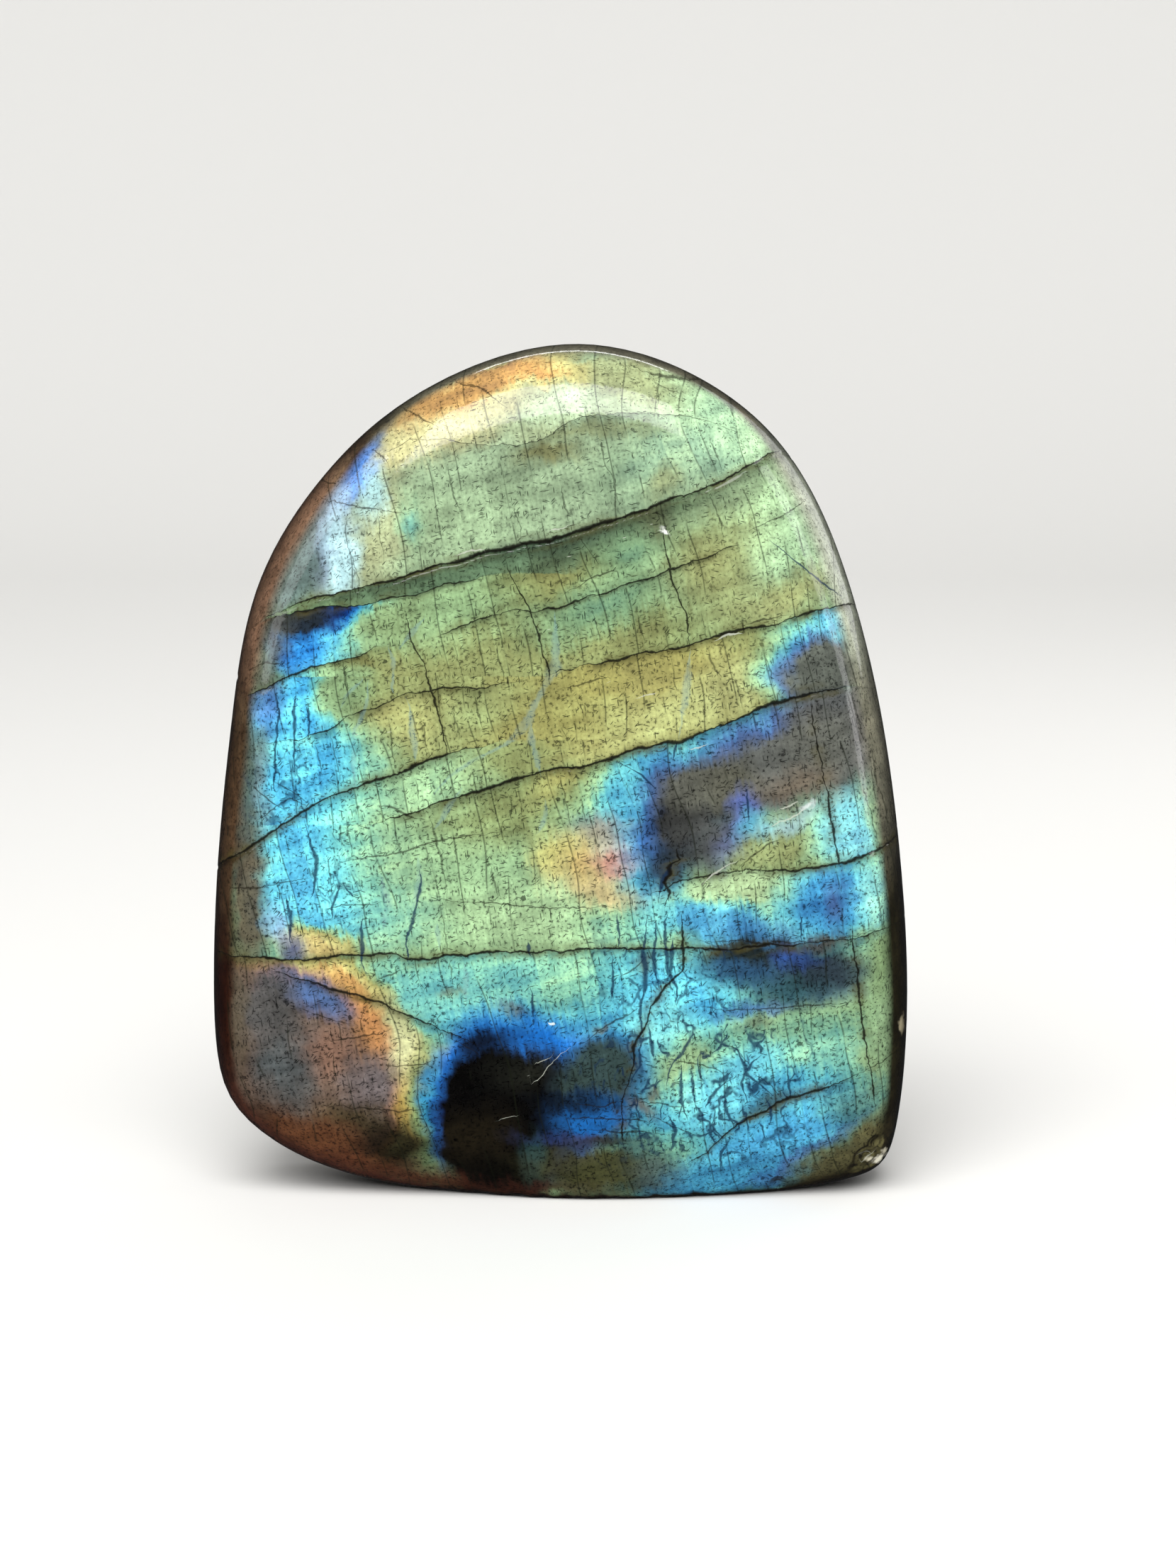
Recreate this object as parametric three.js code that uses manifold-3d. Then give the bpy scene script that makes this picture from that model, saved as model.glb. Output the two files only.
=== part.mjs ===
// A standing freeform of polished labradorite: one piece of stone, arched like a
// small tombstone, with a gently domed show face, a fuller back and a flat base
// that it stands on. The rim is the line where the front and the back meet.
//
// Millimetres. +Z is up, the show face looks along -Y, and the origin is the
// middle of the base.
import * as THREE from 'three';
import { mergeVertices } from 'three/addons/utils/BufferGeometryUtils.js';
import Module from 'manifold-3d';

// Driving dimensions
const FRONT_DEPTH = 15.5; // rim plane to show face, low down
const FRONT_LEAN = 5.5; // how much of that is lost towards the top
const BACK_DEPTH = 16.5; // rim plane to back, low down
const BACK_LEAN = 7.5;
const TALL = 100; // height of the arch above the base
const FRONT_ROUND = 7; // width of the rounded edge beside the show face
const BACK_ROUND = 13; // width of the rounded edge beside the back
const CROWN_ROUND = 8; // how much wider both edges grow over the crown
const CROWN_FROM = 60; // height where the edges begin to widen upwards
const FOOT_ROUND = 12; // how much wider both edges grow towards the foot
const FOOT_FROM = 14; // height where the edges begin to widen downwards
const FOOT_END = -6; // height where they are widest, under the ground base
const EDGE_POWER = 2.4; // 2 is an elliptical edge, more is squarer
const DOME = 0.2; // share of the depth that the faces fall from middle to edge
const HEART = new THREE.Vector2(0, 42); // point in the rim plane that both faces centre on

// The rim, as seen from the front: up the left side, over the crown, down the
// right side, and back along the underside, which the base cuts off.
const RIM = [
  [-41.3, 22], [-40.6, 39], [-38.7, 56], [-35.5, 71.5], [-27.7, 84.4], [-15.8, 94.5],
  [2, 99.8], [18.7, 94.4], [28.4, 84.4], [34, 71.5], [37.9, 56], [40.3, 39],
  [41.3, 22], [40.4, 8], [38.1, 1.9], [32, -0.4], [20, -3.4], [3, -5.6],
  [-9, -3.4], [-18, -1], [-28.5, 2], [-36, 6.4], [-40.1, 12],
].map(([x, z]) => new THREE.Vector2(x, z));

// Mesh density
const SEGMENTS = 100; // around the rim
const EDGE_RINGS = 8; // over each rounded edge
const FACE_RINGS = 9; // from the rounded edge to the middle of a face
const SPLINE_PASSES = 20; // enough for the control points to settle
const MERGE_DISTANCE = 1e-4; // vertices nearer than this are one

// Control points of the closed cubic B-spline that passes through the given points.
function splineThrough(points) {
  const controls = points.map((point) => point.clone());
  const count = points.length;
  for (let pass = 0; pass < SPLINE_PASSES; pass += 1) {
    controls.forEach((control, i) => {
      const before = controls[(i + count - 1) % count];
      const after = controls[(i + 1) % count];
      control.copy(points[i]).multiplyScalar(6).sub(before).sub(after).divideScalar(4);
    });
  }
  return controls;
}

const RIM_CONTROLS = splineThrough(RIM);

// Point on the rim at turn, which runs from 0 to 1 round the stone.
function rimPoint(turn) {
  const count = RIM_CONTROLS.length;
  const along = (turn % 1) * count;
  const first = Math.floor(along);
  const u = along - first;
  const weights = [
    (1 - u) ** 3,
    3 * u ** 3 - 6 * u ** 2 + 4,
    -3 * u ** 3 + 3 * u ** 2 + 3 * u + 1,
    u ** 3,
  ];
  const point = new THREE.Vector2();
  weights.forEach((weight, i) => {
    point.addScaledVector(RIM_CONTROLS[(first + i + count - 1) % count], weight / 6);
  });
  return point;
}

// Depth from the rim plane to the show face or the back at a height.
function faceDepth(height, isFront) {
  const rise = THREE.MathUtils.clamp(height / TALL, 0, 1);
  return isFront
    ? FRONT_DEPTH - FRONT_LEAN * rise ** 1.6
    : BACK_DEPTH - BACK_LEAN * rise ** 1.8;
}

// The hand-polished faces aren't true: the front has faint waves, the back has broad hollows.
function polishWaves(x, z, isFront) {
  return isFront
    ? 0.3 * Math.sin(x / 9 + 1) * Math.sin(z / 12 + 0.6) + 0.15 * Math.sin(x / 6 - z / 8)
    : 1.1 * Math.sin(x / 13 + 2) * Math.sin(z / 15 + 1.1) + 0.5 * Math.sin(z / 9 + x / 12);
}

// A point of the stone. climb runs from 0 on the rim to 1 in the middle of a face.
function stonePoint(turn, climb, isFront) {
  const rim = rimPoint(turn);
  const reach = rim.distanceTo(HEART);
  const crown = THREE.MathUtils.smoothstep(rim.y, CROWN_FROM, TALL);
  const foot = THREE.MathUtils.smoothstep(FOOT_FROM - rim.y, 0, FOOT_FROM - FOOT_END);
  const round = (isFront ? FRONT_ROUND : BACK_ROUND) + CROWN_ROUND * crown + FOOT_ROUND * foot;
  const edgeShare = EDGE_RINGS / (EDGE_RINGS + FACE_RINGS);

  let inward = round;
  let rise = 1;
  if (climb < edgeShare) {
    const angle = ((climb / edgeShare) * Math.PI) / 2;
    const size = (Math.cos(angle) ** EDGE_POWER + Math.sin(angle) ** EDGE_POWER) ** (1 / EDGE_POWER);
    inward = round * (1 - Math.cos(angle) / size);
    rise = Math.sin(angle) / size;
  } else {
    inward = THREE.MathUtils.mapLinear(climb, edgeShare, 1, round, reach);
  }

  const flat = rim.clone().lerp(HEART, inward / reach);
  const domed = 1 - DOME * (1 - inward / reach) ** 2;
  const depth = faceDepth(flat.y, isFront) * domed + polishWaves(flat.x, flat.y, isFront);
  return new THREE.Vector3(flat.x, (isFront ? -1 : 1) * depth * rise, flat.y);
}

// The stone before its base is ground: a sphere with its poles in the middle of
// the two faces, drawn out to the stone's points.
function roundedGeometry() {
  const rings = 2 * (EDGE_RINGS + FACE_RINGS);
  const geometry = new THREE.SphereGeometry(1, SEGMENTS, rings);
  const position = geometry.getAttribute('position');
  for (let ring = 0; ring <= rings; ring += 1) {
    const climb = Math.abs((2 * ring) / rings - 1);
    const isFront = 2 * ring > rings;
    for (let segment = 0; segment <= SEGMENTS; segment += 1) {
      const point = stonePoint((segment % SEGMENTS) / SEGMENTS, climb, isFront);
      position.setXYZ(ring * (SEGMENTS + 1) + segment, point.x, point.y, point.z);
    }
  }
  return geometry;
}

// A closed geometry as a solid that can be cut.
function solidOf(wasm, geometry) {
  const bare = geometry.clone();
  bare.deleteAttribute('normal');
  bare.deleteAttribute('uv');
  const merged = mergeVertices(bare, MERGE_DISTANCE);
  return new wasm.Manifold(new wasm.Mesh({
    numProp: 3,
    vertProperties: new Float32Array(merged.getAttribute('position').array),
    triVerts: new Uint32Array(merged.index.array),
  }));
}

// A solid as a geometry again.
function geometryOf(solid) {
  const mesh = solid.getMesh();
  const geometry = new THREE.BufferGeometry();
  geometry.setAttribute('position', new THREE.BufferAttribute(mesh.vertProperties, mesh.numProp));
  geometry.setIndex(new THREE.BufferAttribute(mesh.triVerts, 1));
  return geometry;
}

// The stone with everything below the base ground away, centred over the origin.
function stoneGeometry(wasm) {
  const grinder = new THREE.BoxGeometry(2 * TALL, 2 * TALL, TALL).translate(0, 0, -TALL / 2);
  const rounded = solidOf(wasm, roundedGeometry());
  const geometry = geometryOf(rounded.subtract(solidOf(wasm, grinder)));
  geometry.computeBoundingBox();
  const middle = geometry.boundingBox.getCenter(new THREE.Vector3());
  geometry.translate(-middle.x, -middle.y, 0);
  geometry.computeVertexNormals();
  return geometry;
}

const wasm = await Module();
wasm.setup();

const labradorite = new THREE.MeshStandardMaterial({
  color: 0x7d8a68,
  roughness: 0.15,
  metalness: 0,
});

const stone = new THREE.Mesh(stoneGeometry(wasm), labradorite);
stone.name = 'labradorite_stone';

const freeform = new THREE.Group();
freeform.add(stone);

export default freeform;
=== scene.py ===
# A standing freeform of polished labradorite on a pale studio floor: one arched
# piece of stone, its cleavage seams cut into the surface, and its play of colour
# made from soft patches, seams, threads, twin lines and needles that run through it.
import math
import random
from collections import namedtuple

import bmesh
import bpy
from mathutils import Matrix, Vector


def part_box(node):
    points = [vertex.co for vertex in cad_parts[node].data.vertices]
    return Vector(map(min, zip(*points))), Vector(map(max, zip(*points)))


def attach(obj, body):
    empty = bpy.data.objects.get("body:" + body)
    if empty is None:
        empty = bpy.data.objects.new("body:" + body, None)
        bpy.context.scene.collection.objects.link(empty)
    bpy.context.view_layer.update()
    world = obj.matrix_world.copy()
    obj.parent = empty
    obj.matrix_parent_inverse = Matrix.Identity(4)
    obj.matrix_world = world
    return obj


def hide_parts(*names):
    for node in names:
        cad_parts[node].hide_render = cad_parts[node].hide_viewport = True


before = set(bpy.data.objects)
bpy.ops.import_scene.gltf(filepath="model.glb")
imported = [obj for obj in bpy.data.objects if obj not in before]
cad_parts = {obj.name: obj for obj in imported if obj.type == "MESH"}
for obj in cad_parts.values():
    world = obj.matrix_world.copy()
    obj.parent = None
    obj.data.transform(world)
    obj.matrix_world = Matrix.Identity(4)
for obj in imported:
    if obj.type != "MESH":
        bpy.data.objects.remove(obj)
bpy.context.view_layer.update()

STONE_LOW, STONE_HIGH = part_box("labradorite_stone")
MM = 0.001

# ---------------------------------------------------------------- the stone's form
# Millimetres from the middle of the base: x to the right, z up, the show face
# towards -y. The rim is the line where the show face and the back meet.
RIM = [
    (-41.3, 22), (-40.6, 39), (-38.7, 56), (-35.5, 71.5), (-27.7, 84.4), (-15.8, 94.5),
    (2, 99.8), (18.7, 94.4), (28.4, 84.4), (34, 71.5), (37.9, 56), (40.3, 39),
    (41.3, 22), (40.4, 8), (38.1, 1.9), (32, -0.4), (20, -3.4), (3, -5.6),
    (-9, -3.4), (-18, -1), (-28.5, 2), (-36, 6.4), (-40.1, 12),
]
HEART = Vector((0, 42))  # where both faces centre, in the plane of the rim
TALL = 100  # height of the arch above the base
# From the rim's plane to a face low down, how much less it is at the top, and how wide
# the rounded edge beside the face is
FRONT_DEPTH, FRONT_LEAN, FRONT_ROUND = 15.5, 5.5, 7
BACK_DEPTH, BACK_LEAN, BACK_ROUND = 16.5, 7.5, 13
CROWN_ROUND, CROWN_FROM = 8, 60  # how much wider it is at the crown, and from what height
FOOT_ROUND, FOOT_FROM, FOOT_END = 12, 14, -6  # and towards the foot, between two heights
EDGE_POWER = 2.4  # 2 is an elliptical edge, more is squarer
EDGE_SHARE = 0.3  # share of the mesh given to the rounded edge
DOME = 0.2  # share of the depth that a face falls from its middle to its edge
ARRIS = 0.6  # how soft the edge round the flat base is
FACE = -12  # y of the show face, where seams and patches are placed

# ---------------------------------------------------------------- its cleavage seams
# A seam runs right through the stone. Its path is given on the show face, as (x, z)
# from left to right for a lying seam and from bottom to top for an upright one.
# dip is how far it rises for each millimetre towards the back. widths are the dark
# line's, evenly spaced from one end to the other. depth is the groove's. shade is the
# width of the painted shade, a dim band below a lying seam.
Seam = namedtuple("Seam", "name path dip widths depth shade")
LYING = [
    Seam("crown_seam", [(-38, 68), (-33, 70), (-30, 71.1), (-25, 72.3), (-21.6, 73), (-18, 74),
                        (-15, 75.1), (-9.5, 76.4), (-5, 77.5), (0, 78.5), (3.5, 79.8), (8.7, 81.4),
                        (11.8, 82.7), (15, 83.8), (18.3, 85.3), (21.5, 87.4), (24.3, 89.5),
                        (26, 90.2), (29, 89.8)],
         -0.3, (0, 0.2, 0.3, 0.45, 0.75, 0.6, 0.35, 0.3, 0.1), 0.16, 3.4),
    # crown_edge: the sharp lower edge of the painted highlight on the crown, with painted shade
    # below it
    Seam("crown_edge", [(-26, 84.4), (-21, 88.4), (-17, 90.2), (-13, 89.9), (-9, 89.3), (-5, 89.1),
                        (-2, 89.8), (0.5, 91.8), (4, 92.7), (9, 93), (14, 92.9), (19, 91.6),
                        (23, 90.6), (26, 90)], -0.2, (0, 0.08, 0.14, 0.1, 0.12, 0.08, 0), 0, 1.6),
    Seam("wedge_seam", [(-34, 69.6), (-30, 70), (-27.7, 70.5), (-23, 70.7), (-20, 71.3),
                        (-16.6, 71.8), (-13, 73), (-9.7, 73.6), (-7, 74.4)],
         -0.3, (0, 0.35, 0.3, 0.2, 0.25, 0), 0.07, 0.8),
    Seam("shoulder_seam", [(-37, 60), (-33.7, 61.2), (-30, 62.8), (-26, 64.1), (-22.7, 64.9),
                           (-21, 65.8)], -0.2, (0, 0.3, 0.4, 0.2, 0.25, 0.1), 0.07, 0.8),
    Seam("moss_seam", [(-15, 66.7), (-12, 67.9), (-9, 69.1), (-5, 70.2), (-3, 69.8), (0, 70.4),
                       (3.5, 71.7), (7, 72.7), (10, 73.5), (12.5, 74.7), (16.2, 76.1), (20, 77.5)],
         -0.2, (0, 0.3, 0.15, 0.3, 0.2, 0.2, 0.35, 0.3, 0.1), 0.06, 0.9),
    Seam("gold_seam", [(-3, 62.3), (0, 62.9), (3, 63.5), (7, 64.5), (11, 65.1), (15, 66.1),
                       (18, 67.1), (21.6, 68), (24.7, 68.3), (28, 69.8), (32, 71), (35.5, 72)],
         -0.25, (0, 0.2, 0.45, 0.35, 0.5, 0.3, 0.4, 0.1), 0.1, 1.3),
    Seam("fern_seam", [(-36, 54.4), (-30, 55.1), (-26.4, 56.3), (-24.4, 57.6), (-21, 59),
                       (-17.7, 60.3), (-12, 61), (-8, 61.3), (-5, 61.8), (-1.5, 63.3)],
         -0.2, (0, 0.16, 0.24, 0.16, 0.24, 0.1, 0), 0.06, 1.7),
    Seam("wing_seam", [(-41, 40), (-37.4, 41.6), (-33.8, 43.8), (-30.7, 45.9), (-27, 48.1),
                       (-23.3, 49.4), (-19, 51), (-16, 52.3), (-12.4, 53.5), (-9, 54.2),
                       (-6.5, 55)], -0.2, (0.2, 0.4, 0.5, 0.45, 0.4, 0.7, 0.2, 0), 0.16, 1.5),
    Seam("heart_seam", [(-22, 45), (-17, 46.4), (-14, 47.7), (-8.5, 49.2), (-5, 50.4), (0, 51.6),
                        (5, 52.6), (9, 53.9), (13.7, 54.9), (16.8, 55.9), (20, 57.4), (24.4, 59.2),
                        (27.7, 60.2), (33, 61.3)],
         -0.2, (0, 0.3, 0.45, 0.5, 0.4, 0.45, 0.4, 0.6, 0.2), 0.15, 1.5),
    Seam("east_seam", [(9.5, 37.2), (13.5, 39.2), (17, 39.8), (21.6, 40.4), (25.8, 40.2),
                       (30, 40.6), (33, 41), (36, 42), (41, 42.6)],
         0.1, (0, 0.3, 0.25, 0.25, 0.45, 0.5, 0.2), 0.1, 1),
    Seam("low_seam", [(-41, 29.8), (-35, 29.4), (-31, 29.2), (-26, 29.8), (-21, 30.1), (-19, 30),
                      (-17.6, 29.4), (-12, 30), (-7, 30.5), (0, 30.5), (7, 30.9), (13.5, 30.7),
                      (20, 30.8), (27, 31.2), (34, 31.8), (41, 33.6)],
         -0.1, (0.1, 0.5, 0.3, 0.45, 0.35, 0.4, 0.3, 0.35, 0.2, 0.1), 0.12, 1.1),
    Seam("foot_seam", [(-34, 28.5), (-30, 27.4), (-26, 26.3), (-22, 25.3), (-17.6, 23.4),
                       (-13.7, 21.9), (-10, 20.2), (-8, 19.2)],
         0.1, (0, 0.3, 0.35, 0.3, 0.2, 0), 0.08, 1.2),
    Seam("toe_seam", [(14, 4.5), (17, 6.4), (20.6, 10.2), (24, 11.9), (26.8, 13.4), (30.7, 14.3),
                      (34.8, 16.1), (40, 18)], 0.1, (0, 0.3, 0.45, 0.5, 0.15, 0.1), 0.06, 0.8),
]
UPRIGHT = [
    Seam("centre_twin", [(-0.8, 60.5), (-1.2, 63.4), (-2.1, 66.5), (-3.3, 70.1), (-4.4, 72),
                         (-5.9, 74.8), (-6.3, 76.6)], 0.1, (0, 0.35, 0.35, 0.3, 0), 0.05, 0),
    Seam("left_twin", [(-12.7, 53.6), (-13.7, 58.4), (-14.8, 61.6), (-15.6, 64), (-17, 67),
                       (-17.8, 70.6)], 0.1, (0.1, 0.35, 0.3, 0.3, 0), 0.05, 0),
    Seam("right_twin", [(15, 66), (14.7, 69.5), (13.3, 72.3), (12.4, 75.2), (11.8, 78.5),
                        (11, 82)], 0.1, (0.1, 0.35, 0.4, 0.25, 0), 0.05, 0),
    Seam("east_twin", [(32.4, 41), (31.7, 44.8), (30.9, 49), (29.9, 54), (28.8, 59)],
         0.1, (0.3, 0.28, 0.22, 0.2, 0.1), 0.05, 0),
    Seam("toe_twin", [(37.1, 10.5), (36.5, 14.9), (35.5, 21.5), (34.7, 27), (34.1, 32),
                      (34.2, 35)], 0.1, (0, 0.4, 0.3, 0.4, 0), 0.05, 0),
    Seam("jagged_twin", [(12.4, 36.2), (12.9, 37.6), (12.2, 38.9), (13.2, 39.8), (12.6, 40.8),
                         (14, 41.4), (13.6, 42.6), (14.8, 43.2)], 0.1, (0.2, 0.5, 0.7, 0.6, 0.1),
         0.12, 0),
    Seam("brook_twin", [(7.6, 7.5), (7.5, 12.5), (8.3, 15.6), (9, 19.4), (10.5, 22.2), (10.7, 24),
                        (12.4, 26.5), (14.6, 28.6), (14.6, 31.3), (14.3, 35)],
         0.1, (0.1, 0.4, 0.35, 0.55, 0.5, 0.4, 0.1), 0.06, 0),
]
SEAMS = [(seam, True) for seam in LYING] + [(seam, False) for seam in UPRIGHT]
SPAN = 110  # a seam's curve node works in shares of this length
SPAN_LEFT, SPAN_FOOT = -55, -5  # where the span starts, across and up
WOBBLE = 0.11  # how far a line mostly strays to either side of its path
WOBBLE_STEP = 1.4  # about how far apart, along it, its stray steps are

# Finer lines, as (width, path): each also runs through the stone.
THREADS = [  # lying, brown and olive
    (0.22, [(-40, 37), (-35, 38.1), (-31, 39), (-28.5, 39.6)]),
    (0.25, [(-27, 40.6), (-22.8, 41.9), (-18.8, 42.4), (-15, 43.6), (-10, 44.7), (-5, 45.1)]),
    (0.2, [(-15.5, 37.9), (-12, 36.9), (-6.4, 36.7), (0, 36.3), (5, 36.5), (9, 35.4)]),
    (0.2, [(-28, 35.5), (-23, 36.4), (-20, 36.9)]),
    (0.3, [(-20.8, 48.1), (-19, 47.7), (-17.6, 46.6), (-16, 46.4)]),
    (0.25, [(20.5, 68.2), (23, 68.8), (26.7, 69.6)]),
    (0.2, [(0, 71.8), (2.2, 73), (5, 74.4), (7.5, 75.1)]),
    (0.25, [(21, 78.8), (24.5, 80), (27.3, 81.2), (29, 81.6)]),
    (0.22, [(-1, 60.9), (3, 62), (6, 62.8)]),
    (0.3, [(-29.5, 81.9), (-27, 81.8), (-24, 81.6), (-21, 81.4), (-17, 80.8)]),
    (0.25, [(-28.5, 83.2), (-25.5, 83.7)]),
    (0.3, [(-22, 87.6), (-20.3, 86.9), (-19.4, 85.8)]),
    (0.2, [(-19, 91.8), (-16.5, 91.4), (-13.5, 90.1)]),
    (0.25, [(-14, 95.2), (-9, 94.4), (-7, 93.2), (-5.5, 91.8)]),
    (0.3, [(7, 97.3), (10, 96.4), (13, 95.6), (15.5, 95.1), (18, 94.5)]),
    (0.25, [(10.5, 95.3), (12.5, 94.6), (14.5, 93.7)]),
    (0.3, [(20.2, 40.4), (21.8, 41.5), (23, 42.5), (24.2, 43.5), (25.6, 44)]),
    (0.22, [(14.6, 32.5), (20, 32.1), (25, 32.1), (28.5, 31.9), (33, 32.3), (38.7, 33)]),
    (0.25, [(-28, 20), (-26, 20.4), (-23.5, 20.7), (-21, 21.2), (-19, 21.8)]),
    (0.22, [(-30, 24), (-27, 22.9), (-24, 22.2)]),
    (0.3, [(-27, 12.2), (-23, 12), (-19, 11.8), (-15, 12), (-13.5, 11.6)]),
    (0.22, [(-20, 17.3), (-17, 17.5), (-14.5, 18.1)]),
    (0.25, [(-21.7, 27.5), (-20, 28.3), (-18, 29)]),
    (0.22, [(15, 24.6), (19, 24.2), (23, 24.2), (28, 24.4), (34, 24.6)]),
    (0.3, [(2.5, 20), (4, 21.6), (6.5, 22.9), (9.5, 24.6)]),
    (0.3, [(6.7, 28.1), (8.5, 29), (10, 30.4)]),
    (0.25, [(1.5, 13), (5, 12.6), (7.5, 13.4)]),
    (0.25, [(0, 11), (4, 11.3), (8, 11), (12, 10.2)]),
    (0.3, [(3, 9.8), (7, 9.5), (10, 9.6), (13, 9)]),
    (0.25, [(8.5, 13.4), (11.5, 13), (14.5, 12.4)]),
    (0.22, [(10, 11.5), (13, 10.2), (16.5, 8.6)]),
    (0.25, [(12, 18.7), (14.5, 18), (18, 17.2), (20.5, 16.2)]),
    (0.25, [(18, 20.5), (20.5, 19.4), (22.5, 17)]),
    (0.3, [(22.5, 16.6), (24.5, 15.2), (26, 13)]),
    (0.2, [(-36, 45), (-34, 46.8), (-31, 48.6), (-28.5, 47.3)]),
    (0.2, [(-33, 50.5), (-31, 49.5), (-29, 48)]),
    (0.22, [(-37, 50.5), (-34.5, 49), (-31, 46.6)]),
    (0.2, [(-36.5, 62), (-34, 63.5), (-31, 64)]),
    (0.25, [(-13, 21), (-10.5, 19.6), (-9, 18.6)]),
]
TWINS = [  # upright, dark olive
    (0.25, [(-23.2, 70.8), (-23.2, 73.2), (-23.8, 75.5), (-24.5, 77.4), (-25, 81.6)]),
    (0.2, [(-20.2, 75), (-20.7, 78.3), (-21.2, 82.7)]),
    (0.25, [(-11.2, 80.9), (-12.2, 83.1), (-13, 86.5)]),
    (0.2, [(-4.5, 78.2), (-5.2, 82.5)]),
    (0.25, [(1, 80), (0.5, 82.5), (0.1, 84.5)]),
    (0.3, [(7.1, 81.8), (5.8, 85.3), (4.9, 88), (4.3, 90.5)]),
    (0.2, [(18.4, 85.4), (17.7, 87.7), (16.7, 90)]),
    (0.3, [(18.8, 77.8), (18.2, 80.3), (16.8, 83.5)]),
    (0.3, [(10.9, 93), (10.5, 95.8)]),
    (0.35, [(19.6, 91), (19, 92.8), (18.5, 94.8)]),
    (0.25, [(-11.8, 92.3), (-12.3, 94)]),
    (0.25, [(4.6, 75.2), (2.2, 78.8)]),
    (0.25, [(-23.8, 58), (-24.3, 61.2), (-25, 65.2)]),
    (0.22, [(-20.7, 66), (-21.4, 68.9), (-22, 70.7)]),
    (0.3, [(-10.7, 61.4), (-11.2, 63.4), (-12, 67.2)]),
    (0.25, [(-6.1, 61.8), (-6.9, 64.8), (-7.3, 66.9)]),
    (0.25, [(-18.7, 52), (-19.2, 55.9), (-19.5, 58.2)]),
    (0.22, [(-15, 54), (-15.7, 57.8)]),
    (0.28, [(-8.4, 56), (-9, 58), (-9.6, 60.8)]),
    (0.2, [(-11.3, 55), (-12.1, 59.4)]),
    (0.22, [(-25, 50.6), (-25.8, 54.1), (-26.1, 56)]),
    (0.22, [(-27.2, 50.8), (-28, 55.2)]),
    (0.22, [(-25.5, 43.2), (-26.1, 45.6), (-26.3, 47.6)]),
    (0.22, [(-23.7, 41.8), (-24.1, 44.3), (-24.5, 46.7)]),
    (0.25, [(-31, 41.4), (-31.7, 44.8)]),
    (0.22, [(-26.2, 37.8), (-26.5, 42.2)]),
    (0.22, [(-16, 48.2), (-16.3, 51)]),
    (0.22, [(-13.1, 48.2), (-13.6, 51.4)]),
    (0.35, [(-12.7, 38), (-13.4, 41.8), (-14.2, 44.6), (-14.9, 47)]),
    (0.25, [(-5.1, 45.4), (-5.4, 48), (-5.8, 49.4)]),
    (0.3, [(1.5, 45.2), (0.8, 49), (0.2, 51.4)]),
    (0.2, [(-9.2, 49), (-9.7, 51.8)]),
    (0.22, [(-6.7, 36.8), (-7.3, 39.5), (-7.7, 41.2)]),
    (0.22, [(-2.5, 38.2), (-2.6, 41.5), (-3.1, 43.8)]),
    (0.22, [(4.8, 66.2), (4.4, 68), (3.8, 70)]),
    (0.22, [(9.9, 66.3), (9.5, 68.3), (8.9, 70)]),
    (0.25, [(16.9, 66.7), (16.3, 70)]),
    (0.3, [(18.9, 62.2), (18, 63.3), (17, 66)]),
    (0.25, [(13.6, 60.7), (12.9, 64.7)]),
    (0.2, [(12.5, 58.2), (11.7, 60.3)]),
    (0.25, [(21.1, 58.8), (20.6, 60.6), (20.1, 62.5)]),
    (0.2, [(1.4, 54.1), (0.2, 57.2)]),
    (0.2, [(3.1, 57.2), (1.7, 60.6)]),
    (0.25, [(36.9, 42.6), (36, 46.4), (34.8, 50.3)]),
    (0.3, [(38.2, 43.4), (37, 48.6), (35.8, 54)]),
    (0.25, [(35.2, 54.4), (34.2, 58), (33.2, 61)]),
    (0.25, [(3.2, 45.3), (2.8, 48.7)]),
    (0.25, [(-12.7, 30.3), (-13, 33.4), (-13.5, 36.3)]),
    (0.22, [(-11.8, 26.2), (-12.5, 29.8)]),
    (0.22, [(-6.6, 37), (-7.1, 39)]),
    (0.25, [(-22.6, 20.7), (-22.7, 22.6), (-21.9, 24.6)]),
    (0.2, [(-25.8, 14.5), (-26.2, 19)]),
    (0.25, [(29.4, 20.5), (29.4, 25)]),
    (0.3, [(10.2, 6.5), (9.7, 8.6), (9.3, 12.3)]),
    (0.22, [(24.5, 61.3), (23.7, 65.8)]),
]
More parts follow.
